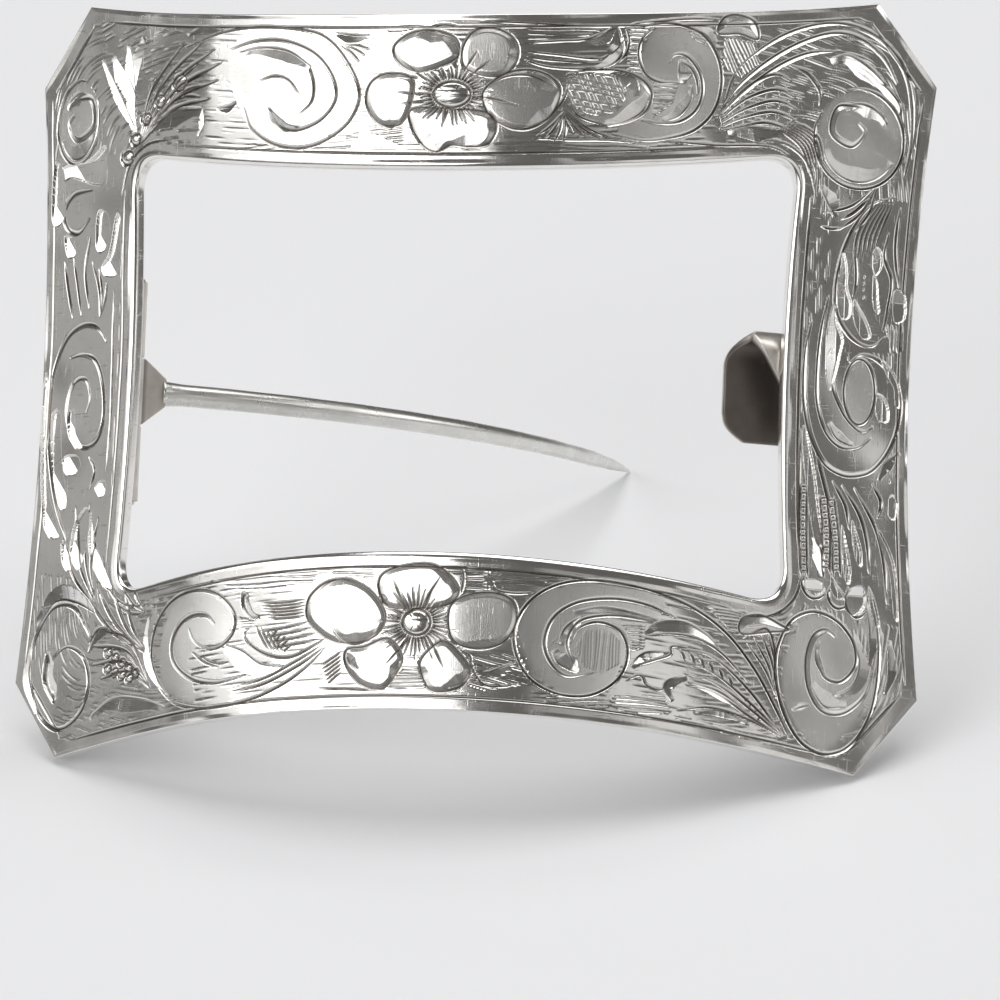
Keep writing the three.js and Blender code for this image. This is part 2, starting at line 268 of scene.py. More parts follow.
def spline(points, closed=False, step=0.1):
    """A smooth curve through points."""
    p = np.array(points, float)
    if closed:
        p = np.vstack([p[-1], p, p[:2]])
    else:
        p = np.vstack([2 * p[0] - p[1], p, 2 * p[-1] - p[-2]])
    pieces = []
    for a, b, c, d in zip(p, p[1:], p[2:], p[3:]):
        n = max(2, math.ceil(np.linalg.norm(c - b) / step))
        t = (np.arange(n) / n)[:, None]
        pieces.append(b + (c - a) * t / 2 + (2 * a - 5 * b + 4 * c - d) * t**2 / 2
                      + (3 * b - a - 3 * c + d) * t**3 / 2)
    return np.vstack(pieces + [p[-2]])


def measured(curve, reach):
    """Vertices within reach of a curve: index, distance, side (+1 on its left) and share of its length."""
    found = nodes_near(curve, reach)
    pu, pv = face_u[found], face_v[found]
    nearest = np.full(found.size, reach**2)
    side = np.zeros(found.size)
    share = np.zeros(found.size)
    run = np.diff(curve, axis=0)
    length = np.linalg.norm(run, axis=1)
    before = np.concatenate([[0], np.cumsum(length)])
    for (u0, v0), (du, dv), size, start in zip(curve, run, length, before):
        if size == 0:
            continue
        eu, ev = pu - u0, pv - v0
        t = np.clip((eu * du + ev * dv) / size**2, 0, 1)
        gap = (eu - t * du) ** 2 + (ev - t * dv) ** 2
        closer = gap < nearest
        nearest[closer] = gap[closer]
        side[closer] = np.sign(du * ev - dv * eu)[closer]
        share[closer] = (start + t[closer] * size) / before[-1]
    reached = side != 0
    return found[reached], np.sqrt(nearest[reached]), side[reached], share[reached]


def swell(share, ends):
    """1 along the middle of a stroke, falling to 0 over its two ends."""
    start, end = ends
    rise = np.minimum(share / max(start, 1e-6), (1 - share) / max(end, 1e-6))
    return np.clip(rise, 0, 1) ** 0.6


def cut(points, left=0.1, right=0.1, depth=0.07, ends=(0.25, 0.25), closed=False, smooth=True, dark=0.085):
    """One stroke of the graver. Its walls reach left and right of the line, and tarnish lies along its bottom
    for dark millimetres to each side. Narrow walls are rounded and broad ones flat."""
    curve = spline(points, closed) if smooth else np.array(points, float)
    found, gap, side, share = measured(curve, max(left, right, dark))
    size = np.ones(found.size) if closed else swell(share, ends)
    reach = np.where(side > 0, left, right) * np.maximum(size, 0.5)
    near = np.clip(1 - gap / reach, 0, 1)
    wall = np.where(reach < NARROW_WALL, near * near * (3 - 2 * near), near)
    cuts[found] = np.maximum(cuts[found], depth * size * wall)
    tarnish_and_shade[found] = np.maximum(tarnish_and_shade[found], size * np.clip(1.35 - gap / dark, 0, 1))


def line(points, width=0.2, depth=0.07, **more):
    width = max(width, THINNEST_LINE)
    cut(points, width / 2, width / 2, depth, dark=0.4 * width, **more)


def facet(points, width, depth=0.11, ends=(0.45, 0.45), **more):
    """A bright cut: one steep wall, and one broad wall on the left of the line, or right if width < 0."""
    left, right = (width, 0.09) if width > 0 else (0.09, -width)
    cut(points, left, right, depth, ends, dark=0.07, **more)


def scoop(points, toward, slope=0.34, deepest=0.2):
    """A flat bright cut inside an outline. It falls towards a direction, in degrees from +u, to a wall."""
    outline = spline(points, closed=True)
    found = nodes_inside(outline)
    if not found.size:
        return
    turn = math.radians(toward)
    along = face_u[found] * math.cos(turn) + face_v[found] * math.sin(turn)
    fall = np.clip((along - along.min()) * slope, 0, deepest)
    cuts[found] = fall
    tarnish_and_shade[found] = 0
    brushed[found] = 0
    taken[found] = True


def turning(outline):
    u, v = outline.T
    return np.sign(np.sum(u * np.roll(v, -1) - v * np.roll(u, -1)))


def petal(points, flank=0.3, depth=0.085, matt=0.8):
    """A closed outline whose metal rolls down to it from inside."""
    outline = spline(points, closed=True)
    inside = turning(outline)
    left, right = (flank, 0.1) if inside > 0 else (0.1, flank)
    cut(outline, left, right, depth, closed=True, smooth=False)
    brush(outline, matt)


def brush(outline, amount=1.0):
    """An area of ornament, left brushed."""
    found = nodes_inside(spline(outline, closed=True))
    brushed[found] = amount
    taken[found] = True


def engrave_lines(found, gap, size, depth, width):
    """Fine lines: found vertices lie gap from the nearest one, which is cut to size, from 0 to 1."""
    near = np.clip(1 - gap / (width / 2), 0, 1)
    cuts[found] = np.maximum(cuts[found], depth * size * near * near * (3 - 2 * near))
    tarnish_and_shade[found] = np.maximum(tarnish_and_shade[found], size * np.clip(1.25 - gap / (0.36 * width), 0, 1) * LINE_SOOT)


def line_ground(pitch=0.32, depth=0.022, width=0.2):
    """Fine lines that run with each bar where no ornament lies, broken and uneven as hand work is."""
    inside = from_inner[:, FACE_FIRST:FACE_LAST]
    outside = bar_width[:, None] - inside
    free = (inside > GROUND_MARGIN) & (outside > GROUND_MARGIN) & ~taken.reshape(inside.shape)
    number = np.round(inside / pitch).astype(int)
    run = (np.arange(len(inside)) * MESH_PITCH)[:, None]
    count = number.max() + 1
    shift = random.uniform(-0.2, 0.2, count) * pitch
    wave = np.zeros(inside.shape)
    for length in (3.1, 5.7, 11.0):
        turns = np.round(len(inside) * MESH_PITCH / (length * random.uniform(0.8, 1.25, count)))
        phase = random.uniform(0, 2 * math.pi, count)
        wave += np.sin(run * turns[number] * 2 * math.pi / (len(inside) * MESH_PITCH) + phase[number])
    size = np.clip(0.25 + 0.55 * wave, 0, 1)
    gap = np.abs(inside - number * pitch - shift[number])
    found = np.flatnonzero(free.ravel())
    engrave_lines(found, gap.ravel()[found], size.ravel()[found], depth, width)


def hatch(outline, angle=0.0, pitch=0.3, depth=0.05, width=0.2):
    """Parallel lines across an area, with the wander of a hand-held graver."""
    found = nodes_inside(np.asarray(outline, float))
    if not found.size:
        return
    turn = math.radians(angle)
    u, v = face_u[found], face_v[found]
    across = v * math.cos(turn) - u * math.sin(turn)
    along = u * math.cos(turn) + v * math.sin(turn)
    across = across + 0.035 * np.sin(along * 1.3 + across * 4)
    number = np.round(across / pitch).astype(int)
    number -= number.min()
    shift = random.uniform(-0.2, 0.2, number.max() + 1) * pitch
    weight = random.uniform(0.55, 1.0, number.max() + 1)
    gap = np.abs(across - np.round(across / pitch) * pitch - shift[number])
    low, high = along.min(), along.max()
    fade = np.clip(np.minimum(along - low, high - along) / 0.4, 0.3, 1)
    engrave_lines(found, gap, weight[number] * fade, depth, width)


def fan(start, ends_at, bend, width=0.2, depth=0.08, taper=(0.5, 0.25)):
    """Strokes from one point to several, each bowed sideways by bend times its length."""
    a = np.array(start, float)
    for end in ends_at:
        b = np.array(end, float)
        side = np.array([a[1] - b[1], b[0] - a[0]]) * bend
        line([a, (a + b) / 2 + side, b], width, depth, ends=taper)


def rays(centre, inner, outer, count, width=0.17, depth=0.09):
    """Short tapered cuts around an oval, uneven in length."""
    centre, inner, outer = (np.array(x, float) for x in (centre, inner, outer))
    for i in range(count):
        angle = 2 * math.pi * (i + random.uniform(-0.2, 0.2)) / count
        way = np.array([math.cos(angle), math.sin(angle)])
        curl = np.array([-way[1], way[0]]) * random.uniform(-0.12, 0.12)
        reach = inner + (outer - inner) * random.uniform(0.6, 1.1)
        line([centre + way * inner, centre + way * (inner + reach) / 2 + curl / 2,
              centre + way * reach + curl],
             width, depth, ends=(0.1, 0.8))


def boss(centre, radii, height=0.12):
    """A raised oval button in a sunk ring."""
    centre, radii = np.array(centre, float), np.array(radii, float)
    angles = np.linspace(0, 2 * math.pi, 40, endpoint=False)
    rim = centre + radii * np.stack([np.cos(angles), np.sin(angles)], -1)
    cut(rim, 0.16, 0.14, 0.12, closed=True)
    found = nodes_inside(rim)
    u, v = (face_u[found] - centre[0]) / radii[0], (face_v[found] - centre[1]) / radii[1]
    hills[found] -= height * (1 - u**2 - v**2)


def dashes(points, count, length=0.34, width=0.16, depth=0.06):
    """Short cross cuts along a curve."""
    curve = spline(points)
    for share in (np.arange(count) + 0.5) / count:
        i = int(share * (len(curve) - 2))
        way = curve[i + 1] - curve[i]
        side = np.array([-way[1], way[0]]) / np.linalg.norm(way) * length / 2
        line([curve[i] - side, curve[i] + side], width, depth, ends=(0.2, 0.2))


def ribs(curves, beads=0, width=0.22, depth=0.1):
    """Long strokes side by side. Beads are small dots in a row between each pair."""
    for points in curves:
        line(points, width, depth, ends=(0.6, 0.2))
    for a, b in zip(curves, curves[1:]):
        middle = spline((np.array(a, float) + np.array(b, float)) / 2)
        for share in (np.arange(beads) + 0.5) / max(beads, 1):
            dot(middle[int(share * (len(middle) - 1))])


def ladder(points, count, length=0.34):
    """A row of short bars across a curve, with a line down each side of it."""
    dashes(points, count, length, 0.2, 0.09)
    curve = spline(points)
    way = np.gradient(curve, axis=0)
    side = np.stack([-way[:, 1], way[:, 0]], -1) / np.linalg.norm(way, axis=1)[:,
                                                                               None] * (length / 2 + 0.06)
    line(curve + side, 0.19, 0.06, ends=(0.1, 0.1))
    line(curve - side, 0.19, 0.06, ends=(0.1, 0.1))


def unit_circle(count):
    angles = np.linspace(0, 2 * math.pi, count, endpoint=False)
    return np.stack([np.cos(angles), np.sin(angles)], -1)


def dot(place, radius=0.13, depth=0.08):
    """A round prick of the punch."""
    u, v = place
    line([(u - 0.02, v), (u + 0.02, v)], 2 * radius, depth, ends=(0.01, 0.01))


# --- The ornament, drawn on the layout -------------------------------------------------------------
def engrave_borders():
    """The plain bands: a line inside the outer edge, and one outside the opening."""
    u = np.linspace(-26.2, 26.2, 60)
    for side in (1, -1):
        line(np.stack([u, side * (outer_top(u) - 0.8)], -1), 0.19, 0.06, ends=(0.05, 0.05))
        v = np.linspace(-18.0, 18.0, 44)
        line(np.stack([side * (outer_side(v) - 0.75), v], -1), 0.2, 0.07, ends=(0.05, 0.05))
        for up in (1, -1):
            line([(side * 26.9, up * 22.4), (side * 30.3, up * 18.5)], 0.2, 0.08)
    corner = [(19.3, 14.5), (21.6, 14.4), (23.1, 13.3), (23.75, 11.3)]
    u = np.linspace(-19.3, 19.3, 50)
    v = np.linspace(-11.3, 11.3, 30)
    for side in (1, -1):
        line(np.stack([u, side * (opening_top(u) + 0.95)], -1), 0.19, 0.04, ends=(0.1, 0.1))
        line(np.stack([side * (opening_side(v) + 0.95), v], -1), 0.19, 0.05, ends=(0.1, 0.1))
        for up in (1, -1):
            line([(side * a, up * b) for a, b in corner], 0.16, 0.06)


def engrave_top_flower():
    petal([(-0.3, 20.1), (-1.8, 20.0), (-2.9, 19.2), (-2.6, 18.2), (-1.4, 17.6), (0.2, 18.0), (1.1, 18.6),
           (0.9, 19.6)])
    petal([(1.6, 17.8), (1.35, 19.0), (2.0, 20.1), (3.2, 20.3), (4.3, 19.8), (4.75, 18.9), (4.4, 17.8),
           (3.2, 17.3)])
    petal([(-1.6, 15.3), (-1.6, 14.2), (-0.9, 13.1), (-0.1, 12.7), (0.9, 13.1), (2.0, 13.0), (3.1, 13.2),
           (3.6, 14.2),
           (3.0, 15.1), (1.0, 15.3)])
    petal([(-1.6, 17.0), (-3.1, 17.5), (-4.3, 17.0), (-4.6, 15.8), (-3.9, 14.6), (-2.9, 14.3),
           (-2.0, 14.8)])
    petal([(2.7, 16.3), (3.8, 17.4), (5.2, 17.8), (6.6, 17.5), (7.4, 16.6), (6.9, 15.1), (5.7, 14.2),
           (4.5, 14.2), (3.2, 14.9)])
    facet([(1.0, 17.8), (1.15, 18.8), (0.7, 19.6), (-0.5, 20.05)], 0.5, 0.13)
    facet([(-1.6, 19.9), (-0.6, 20.05), (0.5, 19.7)], -0.7, 0.1)
    facet([(4.1, 17.6), (4.7, 18.4), (4.7, 19.1), (4.2, 19.8)], 0.6, 0.14)
    facet([(0.5, 13.0), (-0.2, 12.75), (-1.0, 13.2), (-1.6, 14.3)], -0.9, 0.14)
    facet([(3.1, 13.1), (3.6, 14.0), (3.4, 14.9), (2.7, 15.4)], 0.5, 0.14)
    facet([(0.6, 13.1), (1.8, 13.05), (3.0, 13.2)], 0.7, 0.1)
    facet([(-3.9, 14.5), (-3.0, 14.2), (-2.2, 14.6)], 0.5, 0.14)
    facet([(5.2, 17.7), (6.5, 17.3), (7.4, 16.5)], -0.9, 0.14)
    facet([(5.4, 14.2), (6.6, 14.8), (7.3, 15.7)], 0.7, 0.13)
    line([(3.0, 16.6), (4.0, 17.3), (5.6, 17.4), (7.2, 16.7)], 0.14)
    cut([(3.4, 14.6), (4.8, 14.1), (6.4, 14.6), (7.5, 15.9), (7.85, 16.9), (7.7, 17.6)], 0.14, 0.08, 0.09)
    line([(-1.3, 17.2), (-2.4, 17.3), (-3.4, 17.35)], 0.24, 0.1, ends=(0.1, 0.6))
    line([(-0.6, 20.4), (0.3, 20.45), (1.2, 20.3)], 0.24, 0.1)
    rays((0.8, 16.2), (1.2, 0.9), (2.5, 2.0), 40, 0.23, 0.13)
    boss((0.8, 16.2), (1.15, 0.78))
    fan((0.8, 16.2), [(-2.6, 15.6), (-2.9, 16.4), (-2.4, 18.3), (2.3, 18.9), (3.2, 18.4), (4.9, 15.6)],
        0.03, 0.12, 0.04)
    fan((7.6, 15.3), [(6.0, 13.7), (6.5, 13.5), (7.1, 13.3), (7.7, 13.4)], 0.06, 0.2)


def engrave_top_left_scroll():
    cut([(-18.6, 20.2), (-15.4, 20.8), (-12.6, 20.9), (-9.3, 20.5), (-7.4, 19.8), (-5.9, 18.2),
         (-5.05, 16.3), (-5.7, 14.6),
         (-7.3, 13.5), (-9.0, 13.15), (-11.0, 13.5), (-12.6, 14.5), (-13.3, 15.9)], 0.1, 0.14, 0.1,
         (0.2, 0.1))
    cut([(-14.7, 19.6), (-12.6, 20.0), (-10.4, 19.85), (-8.2, 18.9), (-6.9, 17.4), (-6.65, 16.0),
         (-7.6, 14.8), (-9.3, 14.25),
         (-10.8, 14.7), (-11.5, 15.6)], 0.1, 0.14, 0.1, (0.15, 0.1))
    facet([(-9.0, 14.3), (-10.4, 14.4), (-11.5, 15.7)], -0.5, 0.16)
    facet([(-13.9, 19.35), (-12.2, 19.55), (-10.2, 19.2), (-8.4, 18.1)], -0.7, 0.18, (0.5, 0.3))
    line([(-8.6, 18.2), (-8.2, 17.0), (-8.35, 15.9), (-9.3, 15.1)], 0.24, 0.1, ends=(0.1, 0.4))
    line([(-12.2, 17.45), (-11.0, 17.7), (-10.0, 17.35), (-9.15, 16.4)], 0.2, 0.09)
    facet([(-15.4, 16.0), (-14.6, 16.05), (-13.9, 16.3)], -0.4, 0.14)
    facet([(-6.9, 20.15), (-5.6, 19.95), (-4.5, 19.9)], -0.6, 0.14)
    fan((-6.5, 19.4), [(-4.4, 19.0), (-4.7, 18.6), (-5.1, 18.2)], 0.05, 0.2)
    hatch([(-14.5, 13.2), (-5.6, 12.9), (-4.6, 14.2), (-6.0, 13.6), (-9.0, 13.1), (-12.4, 13.6)], 2, 0.26,
          0.04)
    hatch([(-3.9, 20.6), (-0.7, 20.4), (-3.2, 20.0)], 0, 0.2, 0.04)
    hatch([(-4.8, 14.2), (-1.8, 12.9), (-1.9, 14.4)], 3, 0.25, 0.05)
    brush([(-13.2, 15.2), (-9.0, 13.2), (-5.2, 16.3), (-9.2, 20.3), (-14.6, 19.8)], 0.4)


def engrave_top_left_fronds():
    """Fan leaves that spring from the opening's upper left corner."""
    root = (-22.4, 14.4)
    fan(root, [(-16.0, 16.7), (-15.4, 17.8), (-15.2, 18.9), (-15.9, 19.8), (-17.0, 20.4), (-18.6, 20.6)],
        0.12, 0.34, 0.14)
    fan((-20.0, 16.6), [(-16.8, 16.9), (-16.2, 17.6), (-16.4, 18.4), (-17.2, 19.1)], 0.1, 0.26, 0.1)
    facet([(-21.9, 15.4), (-19.2, 16.3), (-16.6, 16.2)], -1.1, 0.2)
    facet([(-16.6, 16.3), (-16.5, 15.2), (-16.9, 14.4)], -0.4, 0.12)
    facet([(-18.4, 21.0), (-17.0, 21.3), (-15.2, 20.9)], -0.5, 0.12)
    for end, width in (((-22.1, 21.2), 0.9), ((-23.6, 20.9), 0.6), ((-24.9, 20.3), 0.9)):
        facet([root, (root[0] - 0.6, 17.6), end], width, 0.2, (0.7, 0.2))
    facet([(-22.6, 15.2), (-24.1, 17.4), (-26.0, 20.2)], 0.5, 0.16)
    for centre, size in (((-23.4, 13.7), 0.5), ((-22.7, 14.8), 0.42), ((-21.8, 16.0), 0.4),
                         ((-20.6, 17.0), 0.45),
                         ((-18.9, 18.0), 0.6)):
        boss(centre, (size, size * 0.85), 0.1)


def engrave_corner_oval(side, up, centre, radii, volute):
    """A corner scroll: an oval band round a curl, mirrored into a corner by side and up."""
    centre, radii = np.array(centre, float), np.array(radii, float)

    def turn(start, end, share, count=9):
        angles = np.radians(np.linspace(start, end, count))
        return centre + radii * share * np.stack([np.cos(angles), np.sin(angles)], -1)

    flip = [side, up]
    lay = side * up
    outline = turn(150, 470, 1.0, 14) * flip
    cut(outline, 0.14 if lay > 0 else 0.1, 0.1 if lay > 0 else 0.14, 0.11, (0.1, 0.15))
    facet(turn(200, 330, 0.86) * flip, 0.9 * lay, 0.14)
    facet(turn(30, 120, 0.7) * flip, 0.8 * lay, 0.15)
    curl = [volute + np.array([math.cos(a), math.sin(a)]) * r for a, r in
            zip(np.radians([60, 130, 200, 270, 340, 400]), (1.45, 1.5, 1.45, 1.25, 0.9, 0.5))]
    cut(np.array(curl) * flip, 0.3, 0.12, 0.13, (0.1, 0.3))
    brush(turn(0, 360, 0.95, 24) * flip, 0.8)


def engrave_top_leaves():
    """Between the upper flower and the comma scroll: a long leaf over a cross-hatched one."""
    line([(4.9, 19.4), (7.0, 19.6), (8.8, 19.8), (10.2, 20.45)], 0.2, 0.08)
    line([(4.9, 18.9), (7.2, 18.75), (9.4, 18.6), (10.2, 18.9)], 0.18, 0.07)
    line([(5.0, 18.6), (6.8, 18.4), (9.2, 18.35)], 0.16, 0.06)
    line([(4.9, 18.4), (6.6, 18.0), (8.6, 17.95), (9.8, 18.1)], 0.2, 0.08)
    line([(2.3, 20.7), (5.0, 20.65), (8.0, 20.6), (10.4, 20.7)], 0.14, 0.06)
    facet([(8.4, 19.7), (9.6, 20.0), (10.6, 20.6), (10.9, 19.6), (10.3, 18.9)], -0.9, 0.16)
    facet([(11.0, 20.1), (11.05, 19.2), (10.5, 18.4), (9.2, 17.8)], -0.55, 0.17, (0.3, 0.5))
    line([(11.15, 20.7), (11.45, 19.9), (11.3, 19.1), (10.8, 18.4)], 0.22, 0.1)
    hatch([(11.4, 17.9), (11.2, 20.8), (12.9, 20.8), (12.1, 20.0), (11.9, 18.9), (12.4, 17.9)], 0, 0.21,
          0.07, 0.19)
    cut([(7.7, 17.6), (9.0, 17.9), (10.8, 18.0), (12.2, 17.6), (12.95, 16.7), (12.6, 15.6), (11.6, 14.9),
         (10.2, 14.5)],
        0.08, 0.3, 0.1)
    facet([(12.9, 16.7), (12.4, 15.6), (11.4, 14.9), (10.2, 14.5)], -0.8, 0.2, (0.3, 0.5))
    line([(7.9, 15.7), (8.7, 15.0), (10.1, 14.6)], 0.2, 0.08)
    facet([(10.3, 17.9), (11.8, 17.6), (12.2, 16.6)], -0.9, 0.12)
    netted = [(7.9, 17.5), (9.4, 17.7), (10.9, 17.5), (11.3, 16.6), (10.9, 15.6), (9.6, 15.2), (8.4, 15.6),
              (7.8, 16.5)]
    hatch(spline(netted, closed=True), -62, 0.46, 0.07, 0.22)
    hatch(spline(netted, closed=True), -8, 0.4, 0.06, 0.2)
    fan((7.5, 15.5), [(10.6, 13.75), (9.9, 13.7), (9.0, 13.8), (8.3, 13.9)], -0.05, 0.2, 0.08)
    hatch([(3.8, 13.0), (7.0, 12.9), (13.6, 13.2), (11.0, 13.9), (7.8, 13.8), (6.0, 13.6)], 1, 0.24, 0.05)
    hatch([(4.9, 20.5), (5.0, 19.6), (8.6, 19.9), (10.1, 20.5)], 1, 0.28, 0.05)
    brush([(7.9, 17.4), (12.0, 17.4), (12.4, 16.2), (10.4, 14.8), (8.2, 15.6)])


def engrave_comma_scroll():
    cut([(11.7, 20.5), (13.0, 21.0), (14.5, 21.1), (16.0, 20.6), (17.0, 19.4), (17.35, 17.8), (16.9, 16.0),
         (15.7, 14.7),
         (14.0, 14.05), (12.3, 13.8), (10.6, 14.1)], 0.1, 0.16, 0.12, (0.1, 0.3))
    cut([(13.0, 20.8), (12.2, 20.0), (12.05, 18.9), (12.5, 17.9), (13.4, 17.45), (14.6, 17.5)], 0.14, 0.1,
        0.11)
    cut([(13.95, 18.7), (14.3, 19.2), (15.1, 19.15), (15.9, 18.2), (16.1, 17.0), (15.7, 15.9),
         (14.7, 15.15), (13.4, 14.95),
         (12.3, 15.1)], 0.16, 0.1, 0.11, (0.15, 0.3))
    line([(14.6, 18.8), (15.3, 18.5), (15.75, 17.7), (15.8, 16.9)], 0.2, 0.09)
    facet([(14.6, 18.9), (14.62, 18.1), (14.65, 17.5)], 0.9, 0.2)
    facet([(13.7, 15.0), (14.7, 15.5), (15.4, 16.5), (15.4, 17.4)], 0.6, 0.12)
    hatch([(13.0, 17.3), (14.5, 17.3), (14.2, 16.2), (13.1, 15.3)], 0, 0.17, 0.07, 0.16)
    hatch([(15.0, 20.9), (16.3, 20.3), (16.5, 19.9), (15.4, 20.3)], -8, 0.18, 0.06)
    line([(11.5, 20.9), (13.0, 21.15), (15.2, 21.5), (17.3, 21.65)], 0.2, 0.09)
    facet([(15.0, 21.0), (16.2, 20.6), (16.9, 19.7)], 0.5, 0.12)
    brush([(11.0, 14.0), (14.6, 13.9), (17.0, 16.0), (17.2, 18.8), (15.8, 20.8), (13.4, 20.9),
           (12.1, 19.0)])
    petal([(17.0, 20.8), (17.3, 21.75), (18.2, 22.05), (19.3, 21.75), (19.6, 20.7), (18.4, 20.9)], 0.4,
          0.12)
    hatch([(17.4, 18.8), (17.4, 20.6), (19.4, 20.4), (19.7, 19.2), (18.6, 18.2)], -62, 0.22, 0.07)


def engrave_top_right_stems():
    for points in (
        [(17.5, 16.6), (18.2, 18.5), (19.9, 20.2), (22.0, 21.5), (24.4, 22.2), (26.5, 22.0), (28.4, 20.9),
         (29.6, 18.9), (29.9, 16.0),
         (29.4, 13.0)],
        [(17.3, 16.1), (18.6, 17.9), (20.5, 19.6), (22.6, 20.9), (24.6, 21.6), (26.3, 21.4), (27.8, 20.4),
         (28.8, 18.8)],
        [(17.2, 15.7), (19.0, 17.6), (21.0, 19.2), (23.0, 20.2), (25.0, 20.5)],
    ):
        cut(points, 0.12, 0.22, 0.12, (0.3, 0.2))
    curves = (
        [(17.0, 15.4), (18.8, 17.5), (20.6, 18.6), (21.8, 18.3)],
        [(17.1, 15.3), (18.9, 16.9), (20.8, 17.7), (22.1, 17.3)],
        [(17.1, 15.1), (18.9, 16.3), (20.8, 17.0), (22.2, 16.6)],
        [(17.1, 14.9), (18.9, 15.8), (20.7, 16.3), (22.2, 15.9)],
        [(17.0, 14.7), (18.8, 15.25), (20.4, 15.6), (22.0, 15.2)],
    )
    ribs(curves, 7, 0.26, 0.12)
    line([(21.6, 19.3), (22.8, 18.9), (23.7, 17.9), (23.7, 17.0)], 0.26, 0.12)
    facet([(17.8, 14.9), (19.6, 15.25), (21.6, 15.3)], -0.9, 0.2)
    for i in range(7):
        r = 0.33 * i
        line([(20.9 + r * 0.5, 15.4 + r * 0.25), (22.6 + r * 0.5, 14.3 + r * 0.4),
              (23.3 + r * 0.42, 12.6 + r * 0.5)], 0.18, 0.07)
    line([(13.6, 13.9), (17.0, 13.9), (20.4, 14.15), (21.9, 13.7)], 0.22, 0.09)
    facet([(24.3, 20.0), (25.6, 20.3), (27.2, 19.5), (28.5, 18.2)], -1.0, 0.2)
    facet([(27.2, 18.9), (28.2, 18.5), (29.0, 17.6), (29.0, 16.8)], -0.6, 0.16)
    facet([(24.0, 11.9), (24.6, 11.0), (24.9, 10.2)], 0.7, 0.16)
    fan((27.6, 12.4), [(24.2, 10.4), (25.2, 9.4), (26.3, 9.4)], 0.1, 0.24, 0.1)


def engrave_right_leaf():
    """The upper half of the right bar: a dark leaf with bright drops cut at its tips."""
    cut([(28.9, 11.8), (27.4, 11.2), (26.2, 9.6), (25.5, 7.8), (25.2, 5.8), (25.4, 4.2), (26.4, 2.9),
         (27.6, 2.5), (28.5, 3.2)],
        0.1, 0.2, 0.11, (0.3, 0.2))
    for shift in range(6):
        line([(27.7 + 0.2 * shift, 11.4), (26.5 + 0.28 * shift, 9.4),
              (26.15 + 0.3 * shift, 7.0 + 0.3 * shift)], 0.2, 0.05,
             ends=(0.3, 0.6))
    line([(25.4, 10.1), (26.3, 10.7), (27.2, 11.6)], 0.3, 0.12)
    line([(26.3, 8.6), (26.5, 6.6), (26.3, 5.4)], 0.24, 0.1)
    line([(28.5, 9.6), (28.3, 8.0), (28.8, 6.6), (28.6, 4.8), (28.3, 3.4)], 0.22, 0.1)
    line([(29.2, 11.2), (29.0, 8.6), (29.3, 6.2)], 0.3, 0.09)
    scoop([(25.55, 8.1), (25.85, 7.2), (25.9, 6.0), (26.2, 5.0), (26.1, 4.15), (25.55, 4.1), (25.25, 5.0),
           (25.35, 6.2)], 0)
    scoop([(26.35, 5.3), (26.8, 4.7), (27.3, 3.9), (27.55, 3.1), (27.1, 2.95), (26.6, 3.6), (26.35, 4.4)],
          0)
    scoop([(27.8, 8.6), (28.1, 8.2), (28.1, 7.4), (27.75, 6.9), (27.5, 7.5), (27.55, 8.3)], 0)
    scoop([(27.6, 6.9), (27.85, 6.4), (27.95, 5.4), (28.05, 4.6), (27.75, 4.8), (27.55, 5.8)], 0)
    scoop([(29.0, 6.0), (29.7, 5.8), (29.75, 4.4), (29.1, 4.2)], -90, 0.25)
    for v in (6.7, 6.3, 5.9, 5.45):
        dot((27.0, v))
    hatch([(28.5, 3.9), (29.8, 3.9), (29.8, 2.4), (28.9, 2.2)], 90, 0.26, 0.05)
    facet([(23.9, 12.2), (24.4, 11.3), (24.8, 10.4)], 0.5, 0.14)
    line([(24.1, 9.6), (24.8, 9.5), (25.4, 9.6)], 0.24, 0.09)
    taken[nodes_inside(np.array([(24.9, 11.4), (24.6, 4.6), (26.0, 2.0), (29.9, 2.2),
                                 (29.9, 11.6)]))] = True


def engrave_right_scroll():
    """The spiral in the middle of the right bar."""
    outline = [(23.65, 3.8), (23.35, 2.0), (23.3, 0.0), (23.4, -1.5), (23.75, -3.0), (24.3, -4.2),
               (25.0, -5.05), (26.0, -5.5),
               (27.0, -5.5), (28.0, -5.1), (28.9, -4.0), (29.5, -2.5), (29.7, -1.0), (29.4, 0.3),
               (28.8, 1.2), (28.0, 1.8),
               (27.0, 1.95), (26.2, 1.4)]
    cut(outline, 0.22, 0.1, 0.13, (0.15, 0.1))
    cut([(24.7, 5.4), (24.3, 3.0), (24.15, 1.0), (24.2, -1.0), (24.6, -2.5), (25.2, -3.4), (26.0, -3.85),
         (27.0, -3.75), (27.8, -3.1)],
        0.16, 0.1, 0.11, (0.2, 0.2))
    cut([(25.1, 1.0), (25.2, -0.2), (25.6, -1.2), (26.3, -2.2), (27.2, -2.8), (27.9, -2.4)], 0.18, 0.1,
        0.11, (0.2, 0.3))
    scoop([(25.15, 5.0), (24.75, 3.4), (24.65, 1.2), (25.0, -0.4), (25.35, 0.6), (25.6, 1.8), (25.75, 2.8),
           (25.35, 3.8)], 0, 0.27)
    scoop([(28.0, -0.45), (28.5, -0.5), (28.85, -1.2), (28.85, -2.0), (28.25, -2.0), (28.0, -1.2)], 0)
    scoop([(28.3, 1.75), (29.0, 1.2), (29.55, 0.2), (29.65, -1.0), (29.35, -1.0), (29.2, 0.1), (28.7, 0.9)],
          0)
    facet([(25.0, -2.4), (25.6, -3.3), (26.6, -3.7)], 0.5, 0.13)
    disc = np.array([26.95, -0.35]) + np.array([1.0, 2.0]) * unit_circle(24)
    cut(disc, 0.1, 0.14, 0.08, closed=True)
    brush(disc, 1.0)
    taken[nodes_inside(spline(outline + [(25.0, 4.6)], closed=True))] = True


